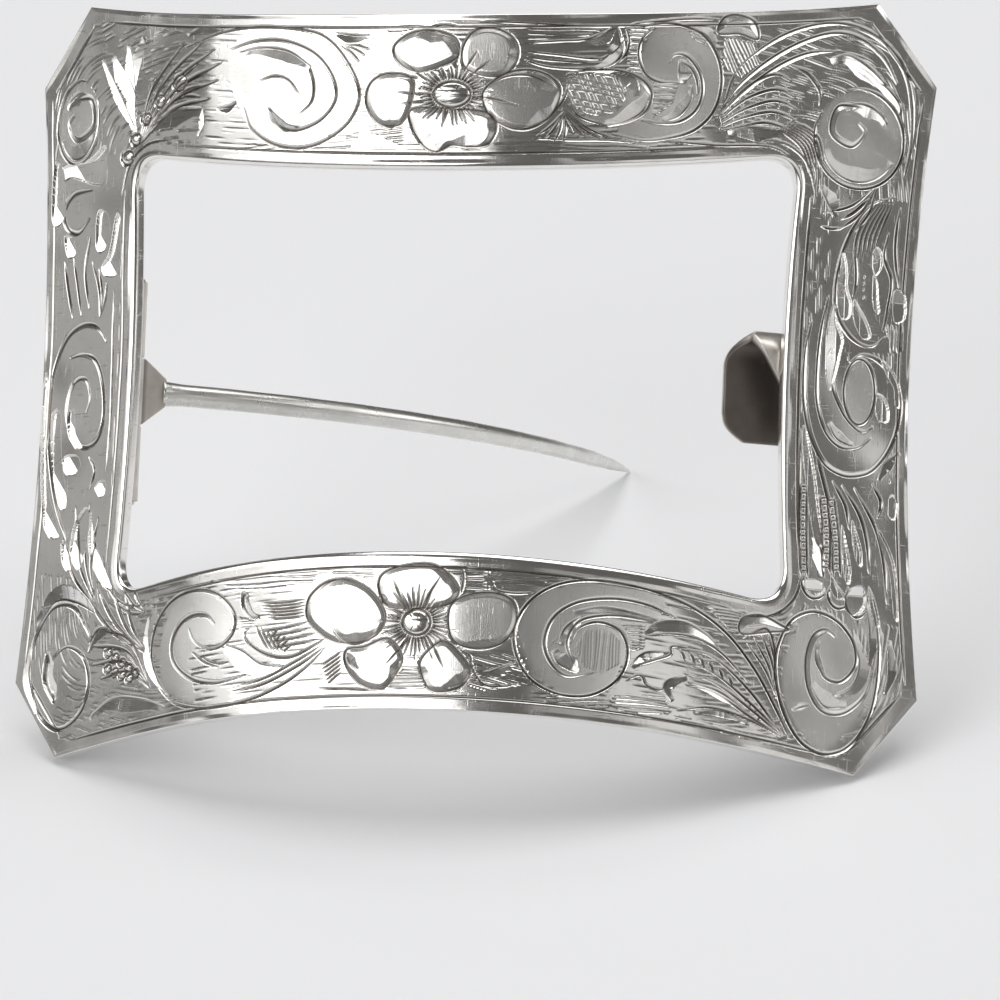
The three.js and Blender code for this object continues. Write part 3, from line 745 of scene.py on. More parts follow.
def engrave_right_ribs():
    """The lower half of the right bar: blades and rows of beads that run down to lobed ends."""
    scoop([(23.35, -2.9), (23.6, -3.0), (24.2, -5.4), (24.6, -7.8), (24.95, -9.6), (24.6, -9.9),
           (24.2, -8.8), (23.8, -6.6),
           (23.45, -4.6)], 0, 0.4)
    facet([(24.4, -9.2), (24.9, -10.4), (25.0, -11.8)], -0.7, 0.14)
    line([(24.3, -4.3), (24.9, -6.2), (25.45, -8.0)], 0.3, 0.12)
    line([(23.2, -2.9), (23.25, -6.0), (23.35, -9.0), (23.6, -11.8)], 0.22, 0.08)
    for start, end in (((24.85, -6.8), (25.15, -11.6)), ((25.3, -6.9), (25.85, -11.7))):
        bend = (0.5 * (start[0] + end[0]) + 0.12, 0.5 * (start[1] + end[1]))
        ladder([start, bend, end], 11)
    for blade in ([(26.1, -8.6), (26.35, -9.4), (26.7, -11.0), (26.7, -12.0), (26.45, -11.9),
                   (26.15, -10.2)],
                  [(26.75, -8.2), (27.05, -8.9), (27.4, -10.0), (27.45, -10.9), (27.2, -10.8),
                   (26.9, -9.8)],
                  [(28.1, -8.2), (28.7, -8.9), (29.5, -10.5), (29.9, -12.6), (29.95, -14.0), (29.7, -13.8),
                   (29.35, -11.4),
                   (28.7, -9.6)],
                  [(27.95, -12.2), (28.3, -12.8), (28.75, -14.4), (28.5, -14.5), (28.1, -13.4)]):
        scoop(blade, 0, 0.45)
    line([(25.4, -5.9), (26.3, -7.4), (26.6, -8.8)], 0.24, 0.1)
    line([(26.0, -6.1), (27.2, -7.8), (27.8, -9.6), (27.95, -11.4)], 0.26, 0.11)
    line([(26.8, -6.2), (28.2, -8.4), (28.9, -10.6), (29.2, -13.2)], 0.26, 0.11)
    scoop([(25.5, -11.7), (26.0, -12.3), (26.5, -12.95), (25.95, -13.05), (25.5, -12.5)], 0)
    scoop([(24.0, -12.0), (24.9, -12.2), (25.1, -12.7), (24.5, -12.9), (23.95, -12.6)], -90)
    scoop([(26.7, -12.6), (27.5, -12.2), (27.8, -13.2), (27.2, -14.0), (26.5, -13.6)], -90)
    for centre, radii in (((24.5, -12.2), (0.85, 0.95)), ((26.1, -12.8), (0.75, 0.85)),
                          ((27.3, -12.9), (0.75, 1.2))):
        cut(np.array(centre) + np.array(radii) * unit_circle(12)[5:12], 0.14, 0.1, 0.12, (0.2, 0.2))
    facet([(29.6, -3.8), (28.8, -4.6), (28.3, -5.6)], 0.5, 0.14)
    for place in ((29.3, -4.4), (29.0, -5.0), (29.5, -5.2), (29.1, -5.7)):
        dot(place, 0.17)
    scoop([(29.3, -6.5), (29.7, -6.9), (29.6, -7.9), (29.15, -7.8), (29.05, -7.0)], 0)
    line([(28.0, -5.9), (28.6, -7.0), (28.4, -8.0)], 0.26, 0.11)
    ladder([(23.55, -6.2), (23.6, -9.0), (23.75, -11.9)], 13, 0.3)
    taken[nodes_inside(np.array([(23.2, -2.6), (26.0, -5.8), (29.8, -4.0), (30.2, -14.6),
                                 (23.2, -13.4)]))] = True


def engrave_lower_right_corner():
    cut([(28.0, -12.6), (28.6, -14.4), (28.8, -17.0), (28.4, -19.8), (27.2, -21.8), (25.6, -22.5),
         (24.0, -21.9), (22.8, -20.2),
         (22.2, -18.0), (22.3, -16.2), (23.1, -14.6), (24.5, -13.95), (26.0, -14.4), (27.1, -15.6),
         (27.3, -17.0), (26.4, -18.05),
         (25.3, -17.8), (24.8, -16.6), (24.9, -15.7)], 0.16, 0.12, 0.13, (0.1, 0.1))
    cut([(26.0, -15.4), (25.3, -14.95), (24.5, -15.4), (24.1, -16.8), (24.3, -18.6), (25.2, -19.9),
         (26.6, -20.0), (27.9, -18.9),
         (28.5, -17.0)], 0.3, 0.1, 0.12, (0.1, 0.3))
    facet([(24.7, -15.9), (24.8, -17.0), (25.4, -18.0)], 0.3, 0.16)
    facet([(27.0, -15.2), (27.6, -16.8), (27.2, -18.2), (26.0, -18.9)], 0.7, 0.17)
    facet([(27.8, -13.2), (28.2, -15.0), (28.1, -17.0)], 0.7, 0.18)
    facet([(24.4, -18.4), (25.4, -19.6), (26.8, -19.6)], 0.9, 0.14)
    facet([(23.3, -20.0), (24.4, -19.6)], 0.3, 0.1)
    facet([(29.4, -15.4), (29.5, -17.2), (29.2, -18.6)], 0.5, 0.16)
    brush([(22.6, -17.4), (24.4, -14.2), (27.6, -16.0), (28.4, -18.6), (25.6, -22.2), (23.2, -20.4)])
    petal([(19.9, -15.6), (19.9, -14.7), (21.1, -14.4), (22.4, -14.9), (22.9, -15.2), (21.6, -15.4)], 0.5,
          0.13)
    line([(20.0, -15.9), (21.5, -15.2), (22.1, -16.6), (22.1, -18.8)], 0.22, 0.1)
    fan((22.3, -19.4), [(20.2, -16.1), (20.7, -15.8), (21.2, -15.6), (21.6, -15.6)], -0.06, 0.18, 0.08)


def engrave_bottom_flower():
    petal([(-1.6, -15.0), (-2.4, -13.9), (-2.2, -13.0), (-0.9, -12.5), (0.8, -12.4), (2.0, -13.1),
           (2.5, -14.1), (1.5, -14.9)])
    petal([(-2.0, -15.3), (-3.0, -14.0), (-4.4, -13.4), (-5.8, -13.5), (-6.9, -14.4), (-7.0, -15.6),
           (-6.2, -16.5), (-5.0, -17.1),
           (-3.4, -17.1), (-2.2, -16.4)])
    petal([(-1.7, -16.9), (-3.2, -17.4), (-4.3, -17.6), (-4.3, -18.5), (-3.4, -19.6), (-2.0, -19.9),
           (-1.2, -19.1), (-0.8, -18.0)])
    petal([(0.4, -18.1), (0.5, -19.2), (1.2, -20.0), (2.6, -19.8), (3.4, -18.8), (2.6, -17.6),
           (1.6, -17.0)])
    petal([(2.0, -15.0), (3.0, -14.2), (4.6, -14.0), (5.8, -14.5), (6.0, -15.8), (5.2, -17.0), (3.6, -17.4),
           (2.2, -16.8)])
    facet([(-6.9, -14.5), (-5.6, -13.5), (-4.3, -13.35), (-2.9, -13.95)], -0.4, 0.13)
    facet([(-5.3, -16.4), (-4.5, -17.15), (-3.4, -17.15), (-2.2, -16.4)], 0.7, 0.17)
    facet([(-2.4, -14.0), (-2.1, -14.8), (-1.6, -15.1)], 0.4, 0.17)
    facet([(-4.4, -17.6), (-4.1, -18.4), (-3.5, -18.9)], 0.5, 0.16)
    facet([(-0.9, -18.1), (-1.1, -18.8), (-1.5, -19.3)], -0.5, 0.15)
    facet([(0.2, -18.2), (0.5, -19.2), (1.0, -19.8)], 0.5, 0.15)
    facet([(0.9, -12.5), (2.1, -13.2), (2.4, -14.2)], -0.5, 0.12)
    facet([(2.1, -17.1), (3.4, -17.4), (4.8, -17.2), (5.8, -16.3)], 0.5, 0.14)
    facet([(1.8, -19.9), (3.0, -19.4), (3.4, -18.5)], 0.6, 0.13)
    rays((0.0, -15.9), (0.95, 0.85), (2.5, 2.3), 40, 0.22, 0.12)
    boss((0.0, -15.9), (0.85, 0.78))
    fan((0.0, -15.9), [(-1.9, -18.6), (1.8, -18.6), (-1.6, -13.2), (1.4, -13.1)], 0.04, 0.13, 0.04)
    hatch([(-1.8, -19.9), (1.0, -19.9), (0.3, -18.8), (-0.7, -18.7)], 0, 0.19, 0.08, 0.18)
    hatch([(2.6, -12.5), (4.3, -12.6), (4.3, -14.0), (2.7, -14.2)], 0, 0.2, 0.07, 0.18)
    line([(2.65, -12.5), (2.75, -13.4), (2.6, -14.2)], 0.22, 0.09)
    for i in range(6):
        line([(-6.0 + 0.1 * i, -18.6 - 0.22 * i), (-5.2 + 0.05 * i, -18.1 - 0.22 * i),
              (-4.6, -17.7 - 0.26 * i)], 0.18, 0.07)
    line([(-6.2, -19.95), (-4.2, -19.95), (-2.2, -20.05)], 0.16, 0.06)
    hatch([(3.0, -18.0), (4.4, -17.8), (6.2, -17.6), (7.2, -19.4), (4.2, -19.9), (3.2, -19.6)], -14, 0.3,
          0.06)
    facet([(3.4, -18.6), (4.4, -18.75), (5.6, -18.3), (6.4, -18.0)], -0.6, 0.12)
    line([(2.6, -17.4), (3.3, -17.8), (3.5, -18.6), (4.2, -19.5), (5.4, -19.6), (6.6, -19.3)], 0.2, 0.09)


def engrave_lower_left_scroll():
    cut([(-17.2, -20.3), (-18.5, -19.0), (-19.0, -17.4), (-18.6, -15.6), (-17.4, -14.3), (-15.4, -13.75),
         (-13.6, -14.1), (-12.3, -15.2),
         (-12.2, -16.3), (-13.0, -17.2), (-14.2, -17.4), (-15.3, -16.9), (-15.8, -16.1)], 0.1, 0.14, 0.12,
         (0.1, 0.2))
    cut([(-13.7, -15.9), (-14.4, -15.35), (-15.6, -15.3), (-16.7, -15.9), (-17.2, -17.1), (-16.8, -18.3),
         (-15.4, -19.2), (-13.6, -19.5),
         (-11.9, -19.25), (-10.7, -18.95)], 0.2, 0.12, 0.12, (0.1, 0.3))
    cut([(-18.4, -19.5), (-16.8, -20.6), (-14.4, -21.0), (-11.4, -20.7), (-8.8, -19.8), (-6.9, -18.6),
         (-5.5, -17.3)], 0.1, 0.12, 0.1,
        (0.2, 0.2))
    line([(-12.2, -20.1), (-9.8, -19.6), (-7.6, -18.6), (-5.8, -17.5)], 0.22, 0.1)
    line([(-11.9, -19.8), (-9.6, -19.2), (-7.6, -18.25), (-6.0, -17.4)], 0.2, 0.09)
    facet([(-12.8, -17.2), (-11.6, -17.6), (-10.2, -18.4), (-8.4, -18.6)], -1.1, 0.2, (0.3, 0.6))
    line([(-14.7, -17.9), (-13.6, -18.3), (-12.4, -18.3)], 0.16, 0.06)
    line([(-15.4, -17.6), (-14.4, -18.2), (-13.2, -18.6)], 0.16, 0.06)
    for i, shift in enumerate((0.0, 0.35, 0.75, 1.1)):
        line([(-10.6 + shift, -16.1 - 0.1 * i), (-10.1 + shift, -16.9 - 0.1 * i),
              (-9.6 + shift, -17.6 - 0.05 * i)], 0.16, 0.08)
    for row in range(4):
        line([(-10.4 + 0.25 * row, -16.45 - 0.36 * row), (-8.6 + 0.25 * row, -16.25 - 0.33 * row),
              (-6.7 + 0.25 * row, -15.9 - 0.36 * row)],
             0.2, 0.1, ends=(0.2, 0.4))
    dashes([(-9.3, -16.5), (-8.7, -17.0), (-8.1, -17.7)], 5, 0.7, 0.16, 0.08)
    line([(-10.9, -16.0), (-11.4, -16.6), (-10.9, -17.3), (-9.6, -17.9), (-8.0, -18.0), (-6.4, -17.3),
          (-5.5, -16.8)], 0.24, 0.1)
    for i in range(6):
        line([(-10.4 + 0.12 * i, -14.75 - 0.18 * i), (-8.8, -14.72 - 0.19 * i), (-7.1, -14.55 - 0.2 * i)],
             0.18, 0.08)
    facet([(-11.7, -14.0), (-11.6, -14.9), (-11.1, -15.5), (-10.3, -15.7)], 0.5, 0.18, (0.1, 0.5))
    hatch([(-14.2, -13.3), (-6.4, -12.8), (-6.2, -13.4), (-9.4, -13.9), (-11.8, -13.9)], 2, 0.3, 0.07)
    hatch([(-6.0, -12.6), (-2.5, -12.6), (-2.6, -13.3), (-5.2, -13.1)], 0, 0.24, 0.05)
    hatch([(-12.1, -15.5), (-10.6, -15.8), (-11.2, -16.4), (-12.1, -16.1)], 4, 0.16, 0.05)
    brush([(-18.2, -17.4), (-17.2, -14.6), (-15.2, -13.9), (-12.6, -15.0), (-13.0, -17.0), (-15.6, -17.6),
           (-15.0, -20.6), (-17.4, -19.8)])


def engrave_lower_left_corner():
    cut([(-24.6, -16.3), (-26.2, -14.4), (-28.2, -14.3), (-29.7, -16.2), (-30.0, -18.6), (-29.0, -20.9),
         (-27.2, -21.9), (-25.4, -21.0),
         (-24.6, -19.2), (-25.2, -17.5), (-26.8, -16.8), (-28.1, -17.6)], 0.16, 0.2, 0.15, (0.1, 0.2))
    facet([(-28.6, -17.0), (-28.7, -18.8), (-27.7, -20.3)], 0.9, 0.22, (0.2, 0.2))
    facet([(-29.9, -16.6), (-30.2, -18.6), (-29.2, -21.0)], -0.5, 0.16)
    facet([(-29.6, -15.4), (-28.0, -13.9), (-26.2, -14.0), (-24.2, -14.8)], 0.9, 0.16)
    facet([(-24.8, -17.2), (-24.2, -15.9), (-22.6, -15.7)], -0.8, 0.16)
    fan((-18.9, -19.7), [(-24.2, -15.6), (-24.6, -16.8), (-24.4, -18.0), (-23.6, -18.9)], -0.16, 0.3, 0.13)
    for i in range(5):
        boss((-22.9 + 0.62 * i, -17.3 - 0.34 * i), (0.3, 0.26), 0.08)
    for i in range(4):
        boss((-22.9 + 0.66 * i, -18.3 - 0.22 * i), (0.28, 0.24), 0.08)
    fan((-19.3, -17.6), [(-25.4, -13.4), (-24.2, -13.2), (-22.8, -13.4), (-21.6, -13.8)], 0.08, 0.3, 0.12)
    facet([(-24.4, -21.2), (-22.4, -20.2), (-19.8, -20.3), (-17.6, -20.8)], -0.9, 0.18)
    facet([(-19.2, -15.2), (-19.4, -16.6), (-18.9, -18.4), (-17.6, -20.0)], -0.5, 0.16)
    fan((-19.6, -15.0), [(-21.0, -12.9), (-21.9, -13.3), (-22.6, -14.2)], 0.1, 0.22, 0.09)


def engrave_great_scroll():
    """The large spiral to the right of the lower flower."""
    cut([(23.2, -21.8), (22.2, -19.9), (20.8, -17.7), (19.0, -15.7), (16.8, -14.3), (14.0, -13.4),
         (11.0, -13.0), (8.6, -13.3), (6.9, -14.3),
         (6.0, -15.8), (6.0, -17.4), (6.9, -19.0), (8.6, -19.9), (10.6, -19.9), (12.2, -18.9),
         (12.8, -17.4), (12.3, -16.0), (11.0, -15.5),
         (9.8, -15.9), (9.25, -16.9)], 0.12, 0.1, 0.12, (0.05, 0.05))
    cut([(15.7, -15.0), (13.9, -14.3), (11.8, -14.05), (9.6, -14.4), (8.2, -15.4), (7.75, -16.9),
         (8.2, -18.1), (9.2, -18.8), (10.8, -18.5)],
        0.12, 0.16, 0.12, (0.1, 0.2))
    cut([(14.6, -15.4), (12.8, -15.1), (11.2, -15.1), (9.8, -15.5), (9.15, -16.5), (9.2, -17.4),
         (9.9, -18.5)], 0.12, 0.12, 0.11)
    facet([(9.4, -14.9), (11.2, -14.6), (13.4, -14.9), (15.2, -15.3)], -0.55, 0.16)
    facet([(8.2, -17.4), (8.7, -18.1), (9.8, -18.6)], 0.8, 0.2, (0.3, 0.2))
    facet([(9.9, -15.2), (9.0, -15.9), (8.6, -16.9)], 0.7, 0.16, (0.3, 0.3))
    hatch([(9.6, -17.1), (10.2, -16.0), (11.4, -15.8), (12.3, -16.6), (12.3, -17.9), (11.2, -18.6),
           (10.2, -18.2)], 88, 0.15, 0.018, 0.15)
    hatch([(12.3, -15.5), (13.8, -15.5), (13.8, -16.9), (13.0, -17.1), (12.9, -16.2)], 0, 0.19, 0.08, 0.18)
    brush([(6.2, -17.0), (6.8, -14.6), (9.0, -13.4), (12.6, -13.3), (15.0, -14.2), (12.8, -17.0),
           (11.6, -19.4), (8.6, -19.7)])


def engrave_acanthus():
    """The leaf that fills the great scroll's tail: two dark lobes over ribs that meet at one point."""
    facet([(13.7, -15.95), (14.6, -15.3), (16.2, -15.2), (17.6, -15.8), (18.5, -16.6)], -0.7, 0.2,
          (0.3, 0.5))
    line([(13.8, -16.15), (15.4, -15.95), (17.0, -16.1), (18.7, -16.9), (20.6, -18.7)], 0.18, 0.08)
    facet([(13.0, -18.0), (13.8, -17.2), (15.4, -17.0)], -0.6, 0.2, (0.3, 0.5))
    line([(13.2, -18.05), (14.4, -17.6), (15.4, -17.2), (15.5, -16.7), (16.6, -16.7)], 0.18, 0.08)
    line([(12.7, -18.9), (13.6, -18.55), (14.0, -19.1), (14.9, -19.35), (15.3, -18.8)], 0.2, 0.09)
    facet([(16.5, -18.4), (15.4, -18.7), (15.1, -19.3), (15.6, -20.0)], 0.6, 0.18)
    curves = (
        [(15.7, -16.75), (18.1, -17.15), (20.4, -18.9), (22.6, -21.4)],
        [(15.6, -17.5), (18.0, -18.0), (20.4, -19.6), (22.7, -21.5)],
        [(16.3, -18.25), (18.4, -18.75), (20.6, -20.1), (22.7, -21.6)],
        [(16.4, -18.9), (18.4, -19.3), (20.5, -20.5), (22.7, -21.7)],
    )
    ribs(curves, 0, 0.24, 0.12)
    facet([(16.6, -18.75), (18.6, -19.2), (20.6, -20.4)], -0.45, 0.14)
    for i in range(6):
        u = 16.1 + 0.62 * i
        v = -16.85 - 0.09 * i - 0.035 * i * i
        line([(u - 0.1, v), (u + 0.1, v - 0.35), (u + 0.25, v - 0.75)], 0.16, 0.08)
    line([(15.9, -20.5), (18.2, -20.2), (20.4, -20.7), (22.4, -21.6)], 0.22, 0.1)
    facet([(17.0, -20.5), (18.8, -20.35), (20.6, -21.0)], -0.4, 0.14)
    dashes([(20.2, -19.4), (20.8, -20.1), (21.4, -21.0)], 4, 0.3, 0.2, 0.09)
    hatch([(12.0, -19.8), (15.0, -19.6), (15.7, -20.7), (13.0, -20.9), (11.8, -20.4)], -3, 0.21, 0.09, 0.2)
    hatch([(15.8, -20.8), (22.6, -21.7), (22.0, -22.2), (16.0, -21.1)], -9, 0.19, 0.08, 0.18)
    hatch([(17.6, -14.1), (20.0, -14.3), (20.0, -15.7), (19.1, -15.4)], -4, 0.18, 0.07, 0.17)
    hatch([(2.4, -13.0), (8.9, -12.75), (7.4, -13.4), (5.0, -13.7)], 0, 0.24, 0.05)
    hatch([(7.6, -20.0), (12.2, -20.1), (11.6, -20.7), (8.0, -20.5)], 3, 0.25, 0.05)
    line([(4.3, -13.6), (4.5, -13.3), (4.7, -13.8), (5.8, -14.0), (7.2, -13.9)], 0.2, 0.08)


def engrave_left_bar():
    """The left bar: a scroll between lobed leaves, as the right one."""
    toward = 40
    cut([(-24.4, 2.2), (-25.4, 3.2), (-26.8, 3.4), (-28.3, 2.6), (-29.2, 0.6), (-29.4, -2.0), (-29.2, -5.0),
         (-28.4, -8.0), (-27.2, -10.2)],
        0.22, 0.12, 0.13, (0.1, 0.2))
    cut([(-27.8, 1.4), (-26.6, 1.5), (-25.4, 1.0), (-24.6, -0.6), (-24.4, -2.6), (-25.0, -4.0),
         (-26.2, -4.3), (-27.2, -3.4),
         (-27.7, -1.8), (-27.2, -0.2), (-26.2, -0.1), (-25.7, -1.2), (-26.0, -2.2)], 0.2, 0.12, 0.13,
         (0.1, 0.2))
    cut([(-23.9, 5.4), (-23.9, 3.0), (-23.8, 0.4), (-23.7, -3.0), (-23.9, -6.0)], 0.14, 0.1, 0.09,
        (0.2, 0.2))
    for outline, slope in (
        ([(-29.2, 13.6), (-26.7, 13.9), (-25.4, 14.6), (-25.4, 12.5), (-26.3, 12.3), (-28.3, 12.9),
          (-29.2, 12.8)], 0.15),
        ([(-30.0, 13.8), (-29.2, 13.2), (-29.0, 10.6), (-30.0, 10.1)], 0.25),
        ([(-25.8, 10.4), (-25.0, 10.3), (-24.65, 9.2), (-25.1, 8.0), (-25.8, 8.2)], 0.3),
        ([(-24.1, 10.0), (-23.7, 9.8), (-23.6, 6.7), (-24.6, 6.3), (-25.2, 6.8), (-24.5, 7.8)], 0.25),
        ([(-28.8, 9.2), (-28.1, 9.0), (-27.8, 8.0), (-28.4, 7.8), (-28.7, 8.4)], 0.34),
        ([(-30.0, 0.0), (-29.7, 0.0), (-29.7, -4.0), (-29.2, -7.0), (-28.0, -9.7), (-29.3, -9.4),
          (-29.9, -6.0)], 0.34),
        ([(-29.1, -2.2), (-28.3, -2.2), (-28.1, -5.0), (-27.5, -7.8), (-28.2, -7.9), (-29.0, -5.8)], 0.25),
        ([(-27.6, -2.0), (-27.1, -2.2), (-26.9, -3.4), (-26.3, -4.3), (-26.9, -4.3), (-27.5, -3.4)], 0.34),
        ([(-27.9, -4.9), (-26.8, -4.8), (-26.4, -5.4), (-27.0, -6.0), (-27.8, -5.8)], 0.25),
        ([(-24.6, -6.6), (-24.0, -6.6), (-24.0, -7.4), (-24.5, -7.5), (-24.9, -7.0)], 0.34),
        ([(-26.7, -9.4), (-26.0, -8.3), (-25.4, -8.4), (-25.5, -10.6), (-26.0, -12.0), (-26.8, -11.2)],
         0.25),
        ([(-25.2, -8.4), (-24.8, -9.8), (-24.0, -11.4), (-22.9, -13.3), (-23.8, -13.0), (-24.7, -11.8),
          (-25.2, -10.2)], 0.25),
        ([(-27.7, -10.3), (-27.2, -10.5), (-26.7, -11.9), (-27.4, -11.8)], 0.3),
    ):
        scoop(outline, toward, slope)
    cut([(-26.4, 12.0), (-28.2, 11.8), (-29.0, 10.8), (-28.7, 9.7), (-27.6, 9.3), (-26.5, 10.2)], 0.2, 0.14,
        0.13)
    line([(-28.7, 7.6), (-28.3, 6.0), (-27.7, 3.9)], 0.3, 0.12)
    line([(-27.9, 7.8), (-27.4, 6.0), (-26.9, 4.0)], 0.24, 0.1)
    line([(-26.4, 9.0), (-26.7, 6.8), (-26.2, 4.4)], 0.3, 0.11)
    fan((-25.2, 3.8), [(-24.6, 6.0), (-25.4, 6.9), (-26.1, 7.4)], -0.08, 0.26, 0.11)
    fan((-24.2, -14.4), [(-27.6, -10.0), (-26.6, -8.0), (-25.3, -7.9), (-24.4, -8.8)], 0.1, 0.26, 0.12)
    line([(-25.6, -4.9), (-25.0, -5.8), (-25.4, -7.0)], 0.24, 0.1)
    taken[nodes_inside(np.array([(-30.2, 14.0), (-23.4, 14.0), (-23.4, -13.0), (-30.2, -12.0)]))] = True


def roll_surface():
    """The gentle waves that hand polishing leaves."""
    for _ in range(POLISH_WAVES):
        length = random.uniform(3.5, 11)
        angle = random.uniform(0, math.pi)
        phase = random.uniform(0, 2 * math.pi)
        way = face_u * math.cos(angle) + face_v * math.sin(angle)
        hills[:] += POLISH_WAVE * length * np.sin(2 * math.pi * way / length + phase)


engrave_borders()
engrave_top_left_scroll()
engrave_top_left_fronds()
engrave_top_leaves()
engrave_comma_scroll()
engrave_top_right_stems()
engrave_corner_oval(1, 1, (26.4, 15.2), (2.95, 3.1), np.array([25.9, 15.9]))
engrave_corner_oval(-1, 1, (28.0, 16.4), (1.9, 2.7), np.array([28.0, 16.6]))
engrave_right_leaf()
engrave_right_scroll()
engrave_right_ribs()
engrave_lower_right_corner()
engrave_lower_left_scroll()
engrave_lower_left_corner()
engrave_great_scroll()
engrave_acanthus()
engrave_left_bar()
engrave_bottom_flower()
engrave_top_flower()
line_ground()
roll_surface()


# --- Materials ---------------------------------------------------------------------------------------
COLOUR_A, COLOUR_B, COLOUR_RESULT = 6, 7, 2  # the colour sockets of a mix node


def new_material(name):
    material = bpy.data.materials.new(name)
    material.use_nodes = True
    tree = material.node_tree
    shader = tree.nodes["Principled BSDF"]
    shader.inputs["Metallic"].default_value = 1.0
    return material, tree, shader


def add(tree, kind, inputs=None, **settings):
    node = tree.nodes.new(kind)
    for key, value in settings.items():
        setattr(node, key, value)
    for key, value in (inputs or {}).items():
        if isinstance(value, bpy.types.NodeSocket):
            tree.links.new(value, node.inputs[key])
        else:
            node.inputs[key].default_value = value
    return node


def stretched_noise(tree, place, scale, turn=0.0, detail=3.0):
    """Noise drawn out along one direction of the layout, as brushing leaves it. scale is per millimetre."""
    move = add(tree, "ShaderNodeMapping", {"Vector": place, "Rotation": (0, 0, turn), "Scale": scale})
    return add(tree, "ShaderNodeTexNoise", {"Vector": move.outputs[0], "Scale": 1.0, "Detail": detail})


def scratches(tree, place, scale, turn, thin):
    """Long thin scratches here and there: the borders between the cells of a drawn-out pattern."""
    move = add(tree, "ShaderNodeMapping", {"Vector": place, "Rotation": (0, 0, turn), "Scale": scale})
    cells = add(tree, "ShaderNodeTexVoronoi", {"Vector": move.outputs[0], "Scale": 1.0},
                feature="DISTANCE_TO_EDGE")
    gap = add(tree, "ShaderNodeTexNoise", {"Vector": place, "Scale": 1.1, "Detail": 2.0}).outputs["Fac"]
    kept = add(tree, "ShaderNodeMapRange", {"Value": gap, "From Min": 0.5, "From Max": 0.62})
    edge = add(tree, "ShaderNodeMapRange", {"Value": cells.outputs["Distance"], "From Min": 0.0,
                                            "From Max": thin,
                                            "To Min": 1.0, "To Max": 0.0})
    return maths(tree, "MULTIPLY", edge.outputs[0], kept.outputs[0])


def blend_values(tree, share, low, high):
    ranged = add(tree, "ShaderNodeMapRange", {"Value": share, "To Min": low, "To Max": high})
    return ranged.outputs[0]


def maths(tree, operation, a, b):
    return add(tree, "ShaderNodeMath", {0: a, 1: b}, operation=operation).outputs[0]


def silver(name, bright, dull, tarnish, roughness, brush_depth, scratch_depth):
    """Silver with tarnish in its cuts, and painted shade with tarnish inside the catch's roll. Each piece's
    attributes say its layout, its tarnish and painted shade, and its brushing.
    """
    material, tree, shader = new_material(name)
    place = add(tree, "ShaderNodeAttribute", attribute_name="layout").outputs["Vector"]
    groove = add(tree, "ShaderNodeAttribute", attribute_name="groove").outputs["Fac"]
    matt = add(tree, "ShaderNodeAttribute", attribute_name="brushed").outputs["Fac"]
    cloud = add(tree, "ShaderNodeTexNoise", {"Vector": place, "Scale": 0.55, "Detail": 4.0,
                                             "Roughness": 0.6}).outputs["Fac"]
    grain = stretched_noise(tree, place, (13.0, 0.7, 1.0), 0.12).outputs["Fac"]
    fine = stretched_noise(tree, place, (2.0, 17.0, 1.0), -0.3).outputs["Fac"]
    scratch = scratches(tree, place, (1.6, 0.2, 1.0), 0.6, 0.03)
    scratch_again = scratches(tree, place, (0.25, 1.9, 1.0), 0.25, 0.03)

    # A colour mix has sockets of the same names for each data type, so its colour ones are set by place.
    worn = add(tree, "ShaderNodeMix", {"Factor": blend_values(tree, cloud, -0.35, 1.1)},
               data_type="RGBA", clamp_factor=True)
    worn.inputs[COLOUR_A].default_value = bright
    worn.inputs[COLOUR_B].default_value = dull
    # The groove attribute mixes in the tarnish colour: tarnish in the cuts, and on the catch painted shade
    # inside the roll.
    shade_and_tarnish_mix = add(tree, "ShaderNodeMix", {"Factor": groove}, data_type="RGBA", clamp_factor=True)
    tree.links.new(worn.outputs[COLOUR_RESULT], shade_and_tarnish_mix.inputs[COLOUR_A])
    shade_and_tarnish_mix.inputs[COLOUR_B].default_value = tarnish
    tree.links.new(shade_and_tarnish_mix.outputs[COLOUR_RESULT], shader.inputs["Base Color"])

    rough = maths(tree, "ADD", blend_values(tree, cloud, roughness[0], roughness[1]),
                  blend_values(tree, matt, 0.0, 0.1))
    rough = maths(tree, "ADD", rough, blend_values(tree, groove, 0.0, 0.12))
    tree.links.new(rough, shader.inputs["Roughness"])

    brushing = maths(tree, "MULTIPLY", maths(tree, "ADD", grain, maths(tree, "MULTIPLY", fine, 0.35)),
                     blend_values(tree, matt, 0.35, 1.0))
    bump = add(tree, "ShaderNodeBump", {"Height": brushing, "Strength": 1.0, "Distance": brush_depth * MM})
    marks = maths(tree, "MAXIMUM", scratch, scratch_again)
    second = add(tree, "ShaderNodeBump", {"Height": marks, "Strength": 1.0, "Distance": -scratch_depth * MM,
                                          "Normal": bump.outputs[0]})
    tree.links.new(second.outputs[0], shader.inputs["Normal"])
    return material


engraved_silver = silver("engraved_silver", (0.93, 0.92, 0.90, 1), (0.82, 0.80, 0.77, 1),
                         (0.11, 0.095, 0.08, 1),
                         (0.12, 0.2), 0.0025, 0.002)
fitting_silver = silver("fitting_silver", (0.80, 0.77, 0.72, 1), (0.50, 0.45, 0.40, 1),
                        (0.11, 0.09, 0.075, 1),
                        (0.24, 0.42), 0.006, 0.006)
pin_wire = silver("pin_wire", (0.84, 0.84, 0.81, 1), (0.66, 0.65, 0.61, 1), (0.35, 0.31, 0.27, 1),
                  (0.16, 0.3), 0.004, 0.004)


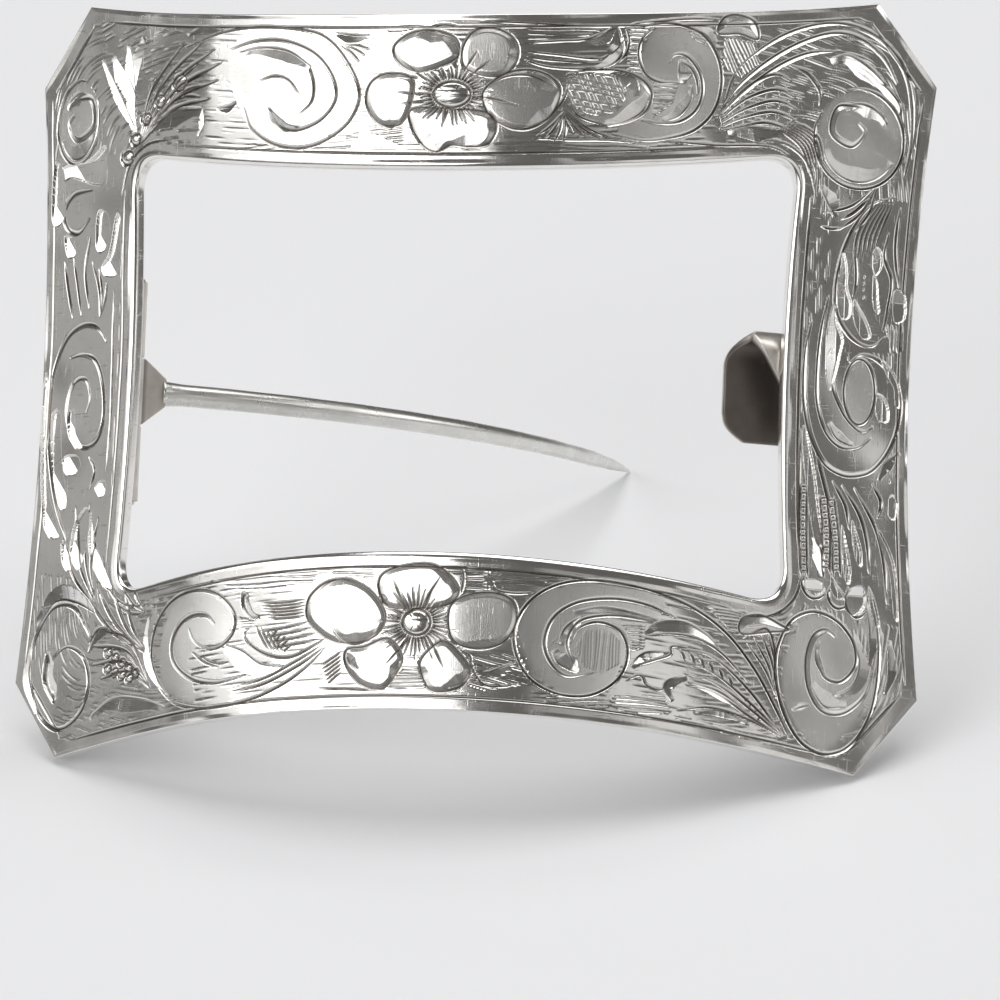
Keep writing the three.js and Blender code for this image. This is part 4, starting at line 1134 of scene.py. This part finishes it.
# --- Mesh helpers --------------------------------------------------------------------------------------
def mesh_object(name, points, faces, material, attributes=None, normals=None, smooth=True):
    """A mesh in the row frame from points in metres, with its layout and groove attributes."""
    mesh = bpy.data.meshes.new(name)
    mesh.vertices.add(len(points))
    mesh.vertices.foreach_set("co", np.asarray(points, np.float32).ravel())
    faces = np.asarray(faces, np.int32)
    mesh.loops.add(faces.size)
    mesh.loops.foreach_set("vertex_index", faces.ravel())
    mesh.polygons.add(len(faces))
    mesh.polygons.foreach_set("loop_start", np.arange(0, faces.size, faces.shape[1], dtype=np.int32))
    mesh.polygons.foreach_set("use_smooth", np.full(len(faces), smooth))
    mesh.update(calc_edges=True)
    for key, values in (attributes or {}).items():
        values = np.asarray(values, np.float32)
        kind, field = ("FLOAT_VECTOR", "vector") if values.ndim == 2 else ("FLOAT", "value")
        mesh.attributes.new(key, kind, "POINT").data.foreach_set(field, values.ravel())
    if normals is not None:
        mesh.normals_split_custom_set_from_vertices(np.asarray(normals, np.float32))
    mesh.materials.append(material)
    piece = bpy.data.objects.new(name, mesh)
    bpy.context.scene.collection.objects.link(piece)
    return piece


def grid_faces(rows, columns, wrap_rows=False, wrap_columns=False):
    """Four-sided faces of a grid of vertices, numbered row by row."""
    i = np.arange(rows if wrap_rows else rows - 1)[:, None]
    j = np.arange(columns if wrap_columns else columns - 1)[None, :]
    i_next, j_next = (i + 1) % rows, (j + 1) % columns
    corners = (i * columns + j, i_next * columns + j, i_next * columns + j_next, i * columns + j_next)
    return np.stack([c + 0 * (i + j) for c in corners], -1).reshape(-1, 4)


# --- The engraved plate ----------------------------------------------------------------------------------
def softened(values, reach):
    """A grid's values, averaged over reach neighbours each way."""
    for axis in (0, 1):
        values = sum(np.roll(values, shift, axis) for shift in range(-reach, reach + 1)) / (2 * reach + 1)
    return values


def plate_points():
    """Every vertex of the plate in the row frame, with its normal, its tarnish and how brushed it is."""
    stations = len(inner_edge)
    depth = np.broadcast_to(section[:, 2], layout.shape[:2]).copy()
    groove = np.zeros(layout.shape[:2])
    matt = np.zeros(layout.shape[:2])
    shape = (stations, FACE_LAST - FACE_FIRST)
    rim = np.clip(np.minimum(np.arange(shape[1]), np.arange(shape[1])[::-1]) / 4, 0, 1)
    engraved = (cuts.reshape(shape) + hills.reshape(shape)) * rim
    depth[:, FACE_FIRST:FACE_LAST] += engraved
    groove[:, FACE_FIRST:FACE_LAST] = tarnish_and_shade.reshape(shape)
    matt[:, FACE_FIRST:FACE_LAST] = softened(brushed.reshape(shape), 4)
    points = leaned(bowed(layout[..., 0], layout[..., 1], depth))
    around = np.roll(points, -1, 0) - np.roll(points, 1, 0)
    across = np.roll(points, -1, 1) - np.roll(points, 1, 1)
    normal = np.cross(around, across)
    normal /= np.linalg.norm(normal, axis=-1, keepdims=True)
    return points, normal, groove, matt


points, normal, groove, matt = plate_points()
low, high = points.reshape(-1, 3).min(0), points.reshape(-1, 3).max(0)
frame_low, frame_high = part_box("frame")
SHIFT = (np.array(frame_low) + np.array(frame_high) - low - high) / 2
points = points + SHIFT

stations, steps = points.shape[:2]
half_quarter = stations // 8
SECTION_NAMES = ("top_right", "right_upper", "right_lower", "bottom_right",
                 "bottom_left", "left_lower", "left_upper", "top_left")
flat_layout = np.concatenate([layout, section[None, :, 2:3] + 0 * layout[..., :1]], -1)
for number, name in enumerate(SECTION_NAMES):
    first = number * half_quarter
    last = (number + 1) * half_quarter if number < 7 else stations
    pick = np.arange(first, last + 1) % stations
    faces = grid_faces(len(pick), steps, wrap_columns=True)
    piece = mesh_object(
        "frame_" + name, points[pick].reshape(-1, 3), faces, engraved_silver,
        {"layout": flat_layout[pick].reshape(-1, 3), "groove": groove[pick].ravel(),
         "brushed": matt[pick].ravel()},
        normal[pick].reshape(-1, 3),
    )
    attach(piece, "buckle")
    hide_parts("frame")


# --- The fittings --------------------------------------------------------------------------------------------
# Each is made in its own frame, in millimetres: x across the bar or along the pin, y back, z up.
SEAM = 0.1
HINGE_HALF = 6.9
TUBE_OUTER, TUBE_BORE = 0.82, 0.5
PIN_TUBE_HALF = 2.05
HINGE_GAP = 0.12
HINGE_STRIP_HALF, HINGE_STRIP_DEPTH = 2.1, 0.5
PIVOT_DEPTH = 2 * SEAM + HINGE_STRIP_DEPTH + TUBE_OUTER  # behind the bar
ROD_RADIUS, ROD_HEAD, ROD_HEAD_HEIGHT = 0.44, 0.64, 0.26
PIN_CHORD, PIN_BOW = 43.0, 5.37
PIN_OPEN = math.radians(54.9)
TAB_REACH, TAB_TIP, TAB_THICK = 2.15, 1.7, 1.0
ROOT_SLOPE = math.atan2(-4 * PIN_BOW, PIN_CHORD)
HOOK_LEFT, HOOK_RIGHT, HOOK_TOP, HOOK_BOTTOM, HOOK_DEPTH, HOOK_SHEET = -2.45, 3.55, 3.2, -3.5, 3.35, 0.55
HOOK_FOOT_LEFT, HOOK_FOOT_BOTTOM = 0.35, -2.6
HOOK_CURVE_LOW, HOOK_CURVE_HIGH = -1.9, 0.9  # the free edge is straight between these heights
SOLDER_SINK = 0.02  # how far solder reaches into what it holds to
STRIP_CORNER, BEAD_CORNER, BEAD_SPREAD = 0.5, 0.6, 0.1  # bead: the solder around the hinge strip
KNUCKLE_FOOT_HALF, KNUCKLE_FOOT_END = 0.62, 0.1
ROD_END = HINGE_HALF + 0.06
WIRE_SIDES, ROD_SIDES = 28, 40
FINE_VOXEL = 0.055
FITTING_BRUSH = 0.5
WAVE_WAY = np.array([0.3, 1.0, 0.1])  # the waves stand mostly out of the flat faces

pivot = np.array(joint["pos_m"])
catch_base = leaned(bowed(np.array(OPENING_U - OPENING_SIDE_DIP), np.array(0.0), PLATE_THICKNESS)) + SHIFT


def placed(points, base, turn):
    """Points of a fitting's own frame, turned about its upright axis, in the row frame."""
    x, y, z = np.moveaxis(np.asarray(points, float), -1, 0)
    c, s = math.cos(turn), math.sin(turn)
    return leaned(np.stack([c * x - s * y, s * x + c * y, z], -1)) + base


def loft(rings):
    """A closed solid through rings of points, with a fan over each end."""
    rings = np.asarray(rings, float)
    count, size = rings.shape[:2]
    points = np.vstack([rings.reshape(-1, 3), rings[0].mean(0), rings[-1].mean(0)])
    faces = [tuple(f) for f in grid_faces(count, size, wrap_columns=True)]
    first, last = count * size, count * size + 1
    for i in range(size):
        j = (i + 1) % size
        faces.append((first, j, i))
        faces.append((last, (count - 1) * size + i, (count - 1) * size + j))
    return points, faces


def tube(bottom, top, outer, bore, sides=48):
    """An open tube about the z axis."""
    ring = unit_circle(sides)
    profile = [(bore, bottom), (outer, bottom), (outer, top), (bore, top)]
    points = np.array([[r * x, r * y, z] for r, z in profile for x, y in ring])
    return points, [tuple(f) for f in grid_faces(4, sides, True, True)]


def slab(outline, low, high):
    """An outline in x and z, solid from y = low to y = high."""
    outline = np.asarray(outline, float)
    return loft([np.stack([outline[:, 0], np.full(len(outline), y), outline[:, 1]], -1) for y in (low,
                                                                                                  high)])


def worn(name, solids, voxel, passes):
    """Closed solids joined into one and smoothed, so that edges are round and joints filled with solder."""
    mesh = bpy.data.meshes.new(name)
    points = np.vstack([p for p, _ in solids])
    starts = np.cumsum([0] + [len(p) for p, _ in solids[:-1]])
    faces = [tuple(int(i) + int(start) for i in face)
             for (_, part), start in zip(solids, starts) for face in part]
    mesh.from_pydata(points.tolist(), [], faces)
    shape = bmesh.new()
    shape.from_mesh(mesh)
    bmesh.ops.recalc_face_normals(shape, faces=shape.faces)
    shape.to_mesh(mesh)
    shape.free()
    rough = bpy.data.objects.new(name, mesh)
    bpy.context.scene.collection.objects.link(rough)
    remesh = rough.modifiers.new("voxels", "REMESH")
    remesh.mode = "VOXEL"
    remesh.voxel_size = voxel
    graph = bpy.context.evaluated_depsgraph_get()
    fine = rough.evaluated_get(graph).to_mesh()
    count = len(fine.vertices)
    p = np.empty(count * 3)
    fine.vertices.foreach_get("co", p)
    p = p.reshape(-1, 3)
    corners = np.array([tuple(f.vertices) for f in fine.polygons])
    edges = np.empty(len(fine.edges) * 2, int)
    fine.edges.foreach_get("vertices", edges)
    bpy.data.objects.remove(rough)
    bpy.data.meshes.remove(mesh)
    a, b = edges.reshape(-1, 2).T
    degree = np.bincount(np.concatenate([a, b]), minlength=count)[:, None]
    for _ in range(passes):
        total = np.zeros_like(p)
        np.add.at(total, a, p[b])
        np.add.at(total, b, p[a])
        p = 0.4 * p + 0.6 * total / degree
    return p, corners


def fitting(name, points, faces, base, turn, body, material, tarnish_and_shade=None):
    """A fitting's detailed mesh, which stands for its CAD node and rides on a body."""
    piece = mesh_object(name + "_detail", placed(points, base, turn), faces, material,
                        {"layout": points, "groove": np.zeros(len(points)) if tarnish_and_shade is None else tarnish_and_shade,
                         "brushed": np.full(len(points), FITTING_BRUSH)})
    shape = bmesh.new()
    shape.from_mesh(piece.data)
    bmesh.ops.recalc_face_normals(shape, faces=shape.faces)
    shape.to_mesh(piece.data)
    shape.free()
    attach(piece, body)
    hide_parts(name)


def hammered(points, height, scale):
    """Low waves that file and hammer leave."""
    x, y, z = (points / scale).T
    wave = np.sin(2.1 * x + 1.3 * z) + np.sin(1.7 * z - 2.3 * y + 1.0) + np.sin(3.1 * x - 1.9 * z + 2.0)
    return points + height * wave[:, None] * WAVE_WAY


def rounded_box(left, bottom, right, top, radius, steps=5):
    """The outline of a rectangle with round corners."""
    corners = ((right - radius, top - radius, 0), (left + radius, top - radius, 90),
               (left + radius, bottom + radius, 180), (right - radius, bottom + radius, 270))
    outline = []
    for x, z, start in corners:
        for angle in np.radians(np.linspace(start, start + 90, steps)):
            outline.append((x + radius * math.cos(angle), z + radius * math.sin(angle)))
    return outline


def solder_soot(points, depth):
    """Tarnish in the low places next to the bar or the strip."""
    return np.clip(1 - np.abs(points[:, 1] - depth) / 0.25, 0, 1) * 0.7


def make_hinge():
    front = -PIVOT_DEPTH
    half, tall = HINGE_STRIP_HALF, HINGE_HALF
    strip = slab(rounded_box(-half, -tall, half, tall, STRIP_CORNER), front + SEAM,
                 front + SEAM + HINGE_STRIP_DEPTH)
    half, tall = HINGE_STRIP_HALF + BEAD_SPREAD, HINGE_HALF + BEAD_SPREAD
    bead = slab(rounded_box(-half, -tall, half, tall, BEAD_CORNER), front - SOLDER_SINK,
                front + SEAM + 0.12)
    points, faces = worn("hinge_plate", [strip, bead], FINE_VOXEL, 4)
    points = hammered(points, 0.012, 0.9)
    fitting("hinge_plate", points, faces, pivot, -BOW_ANGLE, "buckle", fitting_silver,
            solder_soot(points, front + SEAM))
    gap = PIN_TUBE_HALF + HINGE_GAP
    for name, low, high in (("hinge_knuckle_upper", gap, HINGE_HALF),
                            ("hinge_knuckle_lower", -HINGE_HALF, -gap)):
        wide, start, stop = KNUCKLE_FOOT_HALF, low + KNUCKLE_FOOT_END, high - KNUCKLE_FOOT_END
        foot = slab([(-wide, start), (wide, start), (wide, stop), (-wide, stop)], -TUBE_OUTER - 2 * SEAM,
                    -0.55)
        points, faces = worn(name, [tube(low, high, TUBE_OUTER, TUBE_BORE), foot], FINE_VOXEL, 3)
        fitting(name, points, faces, pivot, -BOW_ANGLE, "buckle", fitting_silver,
                solder_soot(points, -TUBE_OUTER - SEAM))
    end = ROD_END
    profile = [(0.12, -end - ROD_HEAD_HEIGHT), (0.36, -end - 0.23), (0.56, -end - 0.15),
               (ROD_HEAD, -end - 0.05),
               (0.6, -end), (ROD_RADIUS, -end + 0.02)]
    profile += [(radius, -z) for radius, z in profile[::-1]]
    rings = [[(r * x, r * y, z) for x, y in unit_circle(ROD_SIDES)] for r, z in profile]
    points, faces = loft(rings)
    fitting_from_mixed("hinge_rod", points, faces, pivot, -BOW_ANGLE, "buckle",
                       fitting_silver)


def fitting_from_mixed(name, points, faces, base, turn, body, material):
    """A fitting whose faces have three or four corners: quads are cut in two."""
    cut_faces = []
    for f in faces:
        cut_faces.append(f[:3])
        if len(f) == 4:
            cut_faces.append((f[0], f[2], f[3]))
    fitting(name, points, cut_faces, base, turn, body, material)


def wire_middle(share):
    """The middle of the pin's wire: a shallow parabola from the pivot to the point."""
    return np.stack([PIN_CHORD * share, -4 * PIN_BOW * share * (1 - share)], -1)


def make_pin():
    half = PIN_TUBE_HALF
    barrel = tube(-half, half, TUBE_OUTER, TUBE_BORE)
    tab = slab([(0.66, -half), (TUBE_OUTER, -half), (TAB_REACH + 0.1, -TAB_TIP / 2),
                (TAB_REACH + 0.1, TAB_TIP / 2),
                (TUBE_OUTER, half), (0.66, half)], -TAB_THICK / 2, TAB_THICK / 2)
    points, faces = worn("pin_root", [barrel, tab], FINE_VOXEL, 4)
    from_seam = np.abs(np.hypot(points[:, 0], points[:, 1]) - TUBE_OUTER - 0.1)
    tarnish_and_shade = np.clip(1 - from_seam / 0.2, 0, 1) * (points[:, 0] > 0.7) * 0.6
    fitting("pin_root", points, faces, pivot, PIN_OPEN + ROOT_SLOPE, "pin",
            fitting_silver, tarnish_and_shade)

    start = (TAB_REACH - 0.15) / math.hypot(PIN_CHORD, 4 * PIN_BOW)
    share = np.concatenate([np.linspace(start, 0.9, 240), np.linspace(0.9, 1.0, 61)[1:]])
    radius = np.interp(share, [start, start + 0.012, start + 0.03, 0.6, 0.86, 0.93, 0.975, 0.995, 1.0],
                       [0.84, 0.76, 0.7, 0.6, 0.5, 0.37, 0.2, 0.09, 0.02])
    radius = radius + 0.006 * np.sin(share * 61) * (share < 0.9)
    middle = wire_middle(share)
    slope = np.arctan2(-4 * PIN_BOW * (1 - 2 * share), PIN_CHORD)
    around = unit_circle(WIRE_SIDES)
    x = middle[:, 0, None] - radius[:, None] * around[:, 0] * np.sin(slope)[:, None]
    y = middle[:, 1, None] + radius[:, None] * around[:, 0] * np.cos(slope)[:, None]
    z = radius[:, None] * around[:, 1] + 0 * x
    points, faces = loft(np.stack([x, y, z], -1))
    fitting_from_mixed("pin_stem", points, faces, pivot, PIN_OPEN, "pin", pin_wire)


def hook_left(y, z, roll_y):
    """The catch's free edge: rounded behind, slanting out from the foot in front."""
    low, high = HOOK_CURVE_LOW, HOOK_CURVE_HIGH
    if z > high:
        t = (z - high) / (HOOK_TOP - high)
        edge = HOOK_LEFT + 0.05 + 1.85 * t**2.4
    elif z > low:
        edge = HOOK_LEFT + 0.05
    else:
        edge = HOOK_LEFT + 0.1 + 1.4 * ((low - z) / (low - HOOK_BOTTOM)) ** 2.2
    if y < roll_y - 0.4:
        t = np.clip((z + 0.4) / 3.0, 0, 1)
        edge = max(edge, HOOK_FOOT_LEFT - 1.8 * t)
    return edge


def make_catch():
    roll_y, roll_z = SEAM + HOOK_DEPTH / 2, HOOK_TOP - HOOK_DEPTH / 2
    middle = HOOK_DEPTH / 2 - HOOK_SHEET / 2
    path = [(roll_y - middle, z, -1.0, 0.0) for z in np.linspace(HOOK_FOOT_BOTTOM, roll_z, 30)]
    for angle in np.linspace(math.pi, 0, 40)[1:]:
        path.append((roll_y + middle * math.cos(angle), roll_z + middle * math.sin(angle), math.cos(angle),
                     math.sin(angle)))
    path += [(roll_y + middle, z, 1.0, 0.0) for z in np.linspace(roll_z, HOOK_BOTTOM, 40)[1:]]
    rings = []
    for y, z, out_y, out_z in path:
        left = hook_left(y, z, roll_y)
        thick = HOOK_SHEET / 2
        rings.append([(x, y + s * thick * out_y, z + s * thick * out_z)
                      for x, s in ((left, 1), (HOOK_RIGHT, 1), (HOOK_RIGHT, -1), (left, -1))])
    left, bottom = HOOK_FOOT_LEFT - 0.12, HOOK_FOOT_BOTTOM - 0.12
    foot = slab(rounded_box(left, bottom, HOOK_RIGHT, roll_z - 0.6, 0.3), -SOLDER_SINK, SEAM + 0.1)
    points, faces = worn("catch_hook", [loft(rings), foot], FINE_VOXEL, 4)
    points = hammered(points, 0.01, 1.1)
    # Painted shade: the inside of the roll is darkened, partly for the oxide it holds and partly for the shade
    # that falls in it.
    y, z = points[:, 1] - roll_y, points[:, 2] - roll_z
    inside = np.where(z > 0, np.hypot(y, z), np.abs(y))
    tarnish_and_shade = np.clip((middle + 0.1 - inside) / 0.25, 0, 1) * 0.85
    fitting("catch_hook", points, faces, catch_base, BOW_ANGLE, "buckle", fitting_silver,
            tarnish_and_shade)


make_hinge()
make_pin()
make_catch()


# --- The stage ---------------------------------------------------------------------------------------------
def place_camera():
    """A long lens, a little above and to the right, with a slight roll."""
    azimuth, elevation, roll = (math.radians(a) for a in (14.15, 25.43, -5.44))
    distance = 0.3946
    aim = (cad_low + cad_high) / 2 + Vector((2.44, -8.33, -7.68)) * MM
    back = Vector((math.sin(azimuth) * math.cos(elevation), -math.cos(azimuth) * math.cos(elevation),
                   math.sin(elevation)))
    level = Vector((math.cos(azimuth), math.sin(azimuth), 0))
    right = level * math.cos(roll) + back.cross(level) * math.sin(roll)
    up = back.cross(right)
    data = bpy.data.cameras.new("camera")
    data.sensor_width = 36
    data.lens = 231.2
    data.clip_start = 0.01
    camera = bpy.data.objects.new("camera", data)
    camera.matrix_world = Matrix.Translation(aim + back * distance) @ Matrix((right, up,
                                                                              back)).transposed().to_4x4()
    bpy.context.scene.collection.objects.link(camera)
    bpy.context.scene.camera = camera


def way(azimuth, elevation):
    """The direction that is azimuth degrees round from the front and elevation degrees up."""
    a, e = math.radians(azimuth), math.radians(elevation)
    return Vector((math.sin(a) * math.cos(e), -math.cos(a) * math.cos(e), math.sin(e)))


def softbox(name, azimuth, elevation, distance, angles, radiance):
    """A rectangular light seen from the buckle at that direction and half angles, with that brightness."""
    width, height = (2 * distance * math.tan(math.radians(a)) for a in angles)
    data = bpy.data.lights.new(name, "AREA")
    data.shape = "RECTANGLE"
    data.size, data.size_y = width, height
    data.energy = radiance * math.pi * width * height
    light = bpy.data.objects.new(name, data)
    light.location = way(azimuth, elevation) * distance + Vector((0, 0, 0.02))
    light.rotation_euler = way(azimuth, elevation).to_track_quat("Z", "Y").to_euler()
    light.visible_camera = False
    bpy.context.scene.collection.objects.link(light)


def card(name, azimuths, elevations, distance, glow):
    """A card that only the silver mirrors, spanning those directions as seen from the buckle."""
    material, _, shader = new_material(name)
    shader.inputs["Metallic"].default_value = 0.0
    shader.inputs["Base Color"].default_value = (0, 0, 0, 1)
    shader.inputs["Emission Color"].default_value = (1, 0.99, 0.97, 1)
    shader.inputs["Emission Strength"].default_value = glow
    columns, rows = 24, 6
    corners = [way(a, e) * distance for e in np.linspace(*elevations, rows) for a in np.linspace(*azimuths,
                                                                                                 columns)]
    piece = mesh_object(name, corners, grid_faces(rows, columns), material, smooth=False)
    piece.location.z = 0.02
    piece.visible_camera = piece.visible_diffuse = piece.visible_shadow = False


def lay_floor():
    material, _, shader = new_material("floor")
    shader.inputs["Metallic"].default_value = 0.0
    shader.inputs["Base Color"].default_value = (0.83, 0.835, 0.85, 1)
    shader.inputs["Roughness"].default_value = 0.9
    reach = 4.0
    corners = [(-reach, -reach, 0), (reach, -reach, 0), (reach, reach, 0), (-reach, reach, 0)]
    floor = mesh_object("floor", corners, [(0, 1, 2, 3)], material, smooth=False)


def light_studio():
    world = bpy.data.worlds.new("studio")
    world.use_nodes = True
    world.node_tree.nodes["Background"].inputs["Color"].default_value = (0.105, 0.1, 0.096, 1)
    world.node_tree.nodes["Background"].inputs["Strength"].default_value = 1.0
    bpy.context.scene.world = world
    softbox("window", -48.5, 38.5, 2.0, (33.5, 12.5), 2.7)
    softbox("right_window", 99, 26, 2.0, (20, 15), 1.6)
    softbox("top_light", 170, 74, 2.0, (26, 26), 2.5)
    card("window_sill", (-82, -15), (14, 27), 1.5, 0.85)
    card("reflector", (18, 34), (10, 39.0), 1.5, 0.36)
    card("bright_wall", (30, 58), (6, 34.0), 1.5, 0.7)
    card("right_wall", (58, 68), (2, 20), 1.5, 0.24)
    card("left_wall", (-98, -82), (2, 15), 1.5, 0.36)


place_camera()
lay_floor()
light_studio()
bpy.context.scene.view_settings.view_transform = "Standard"
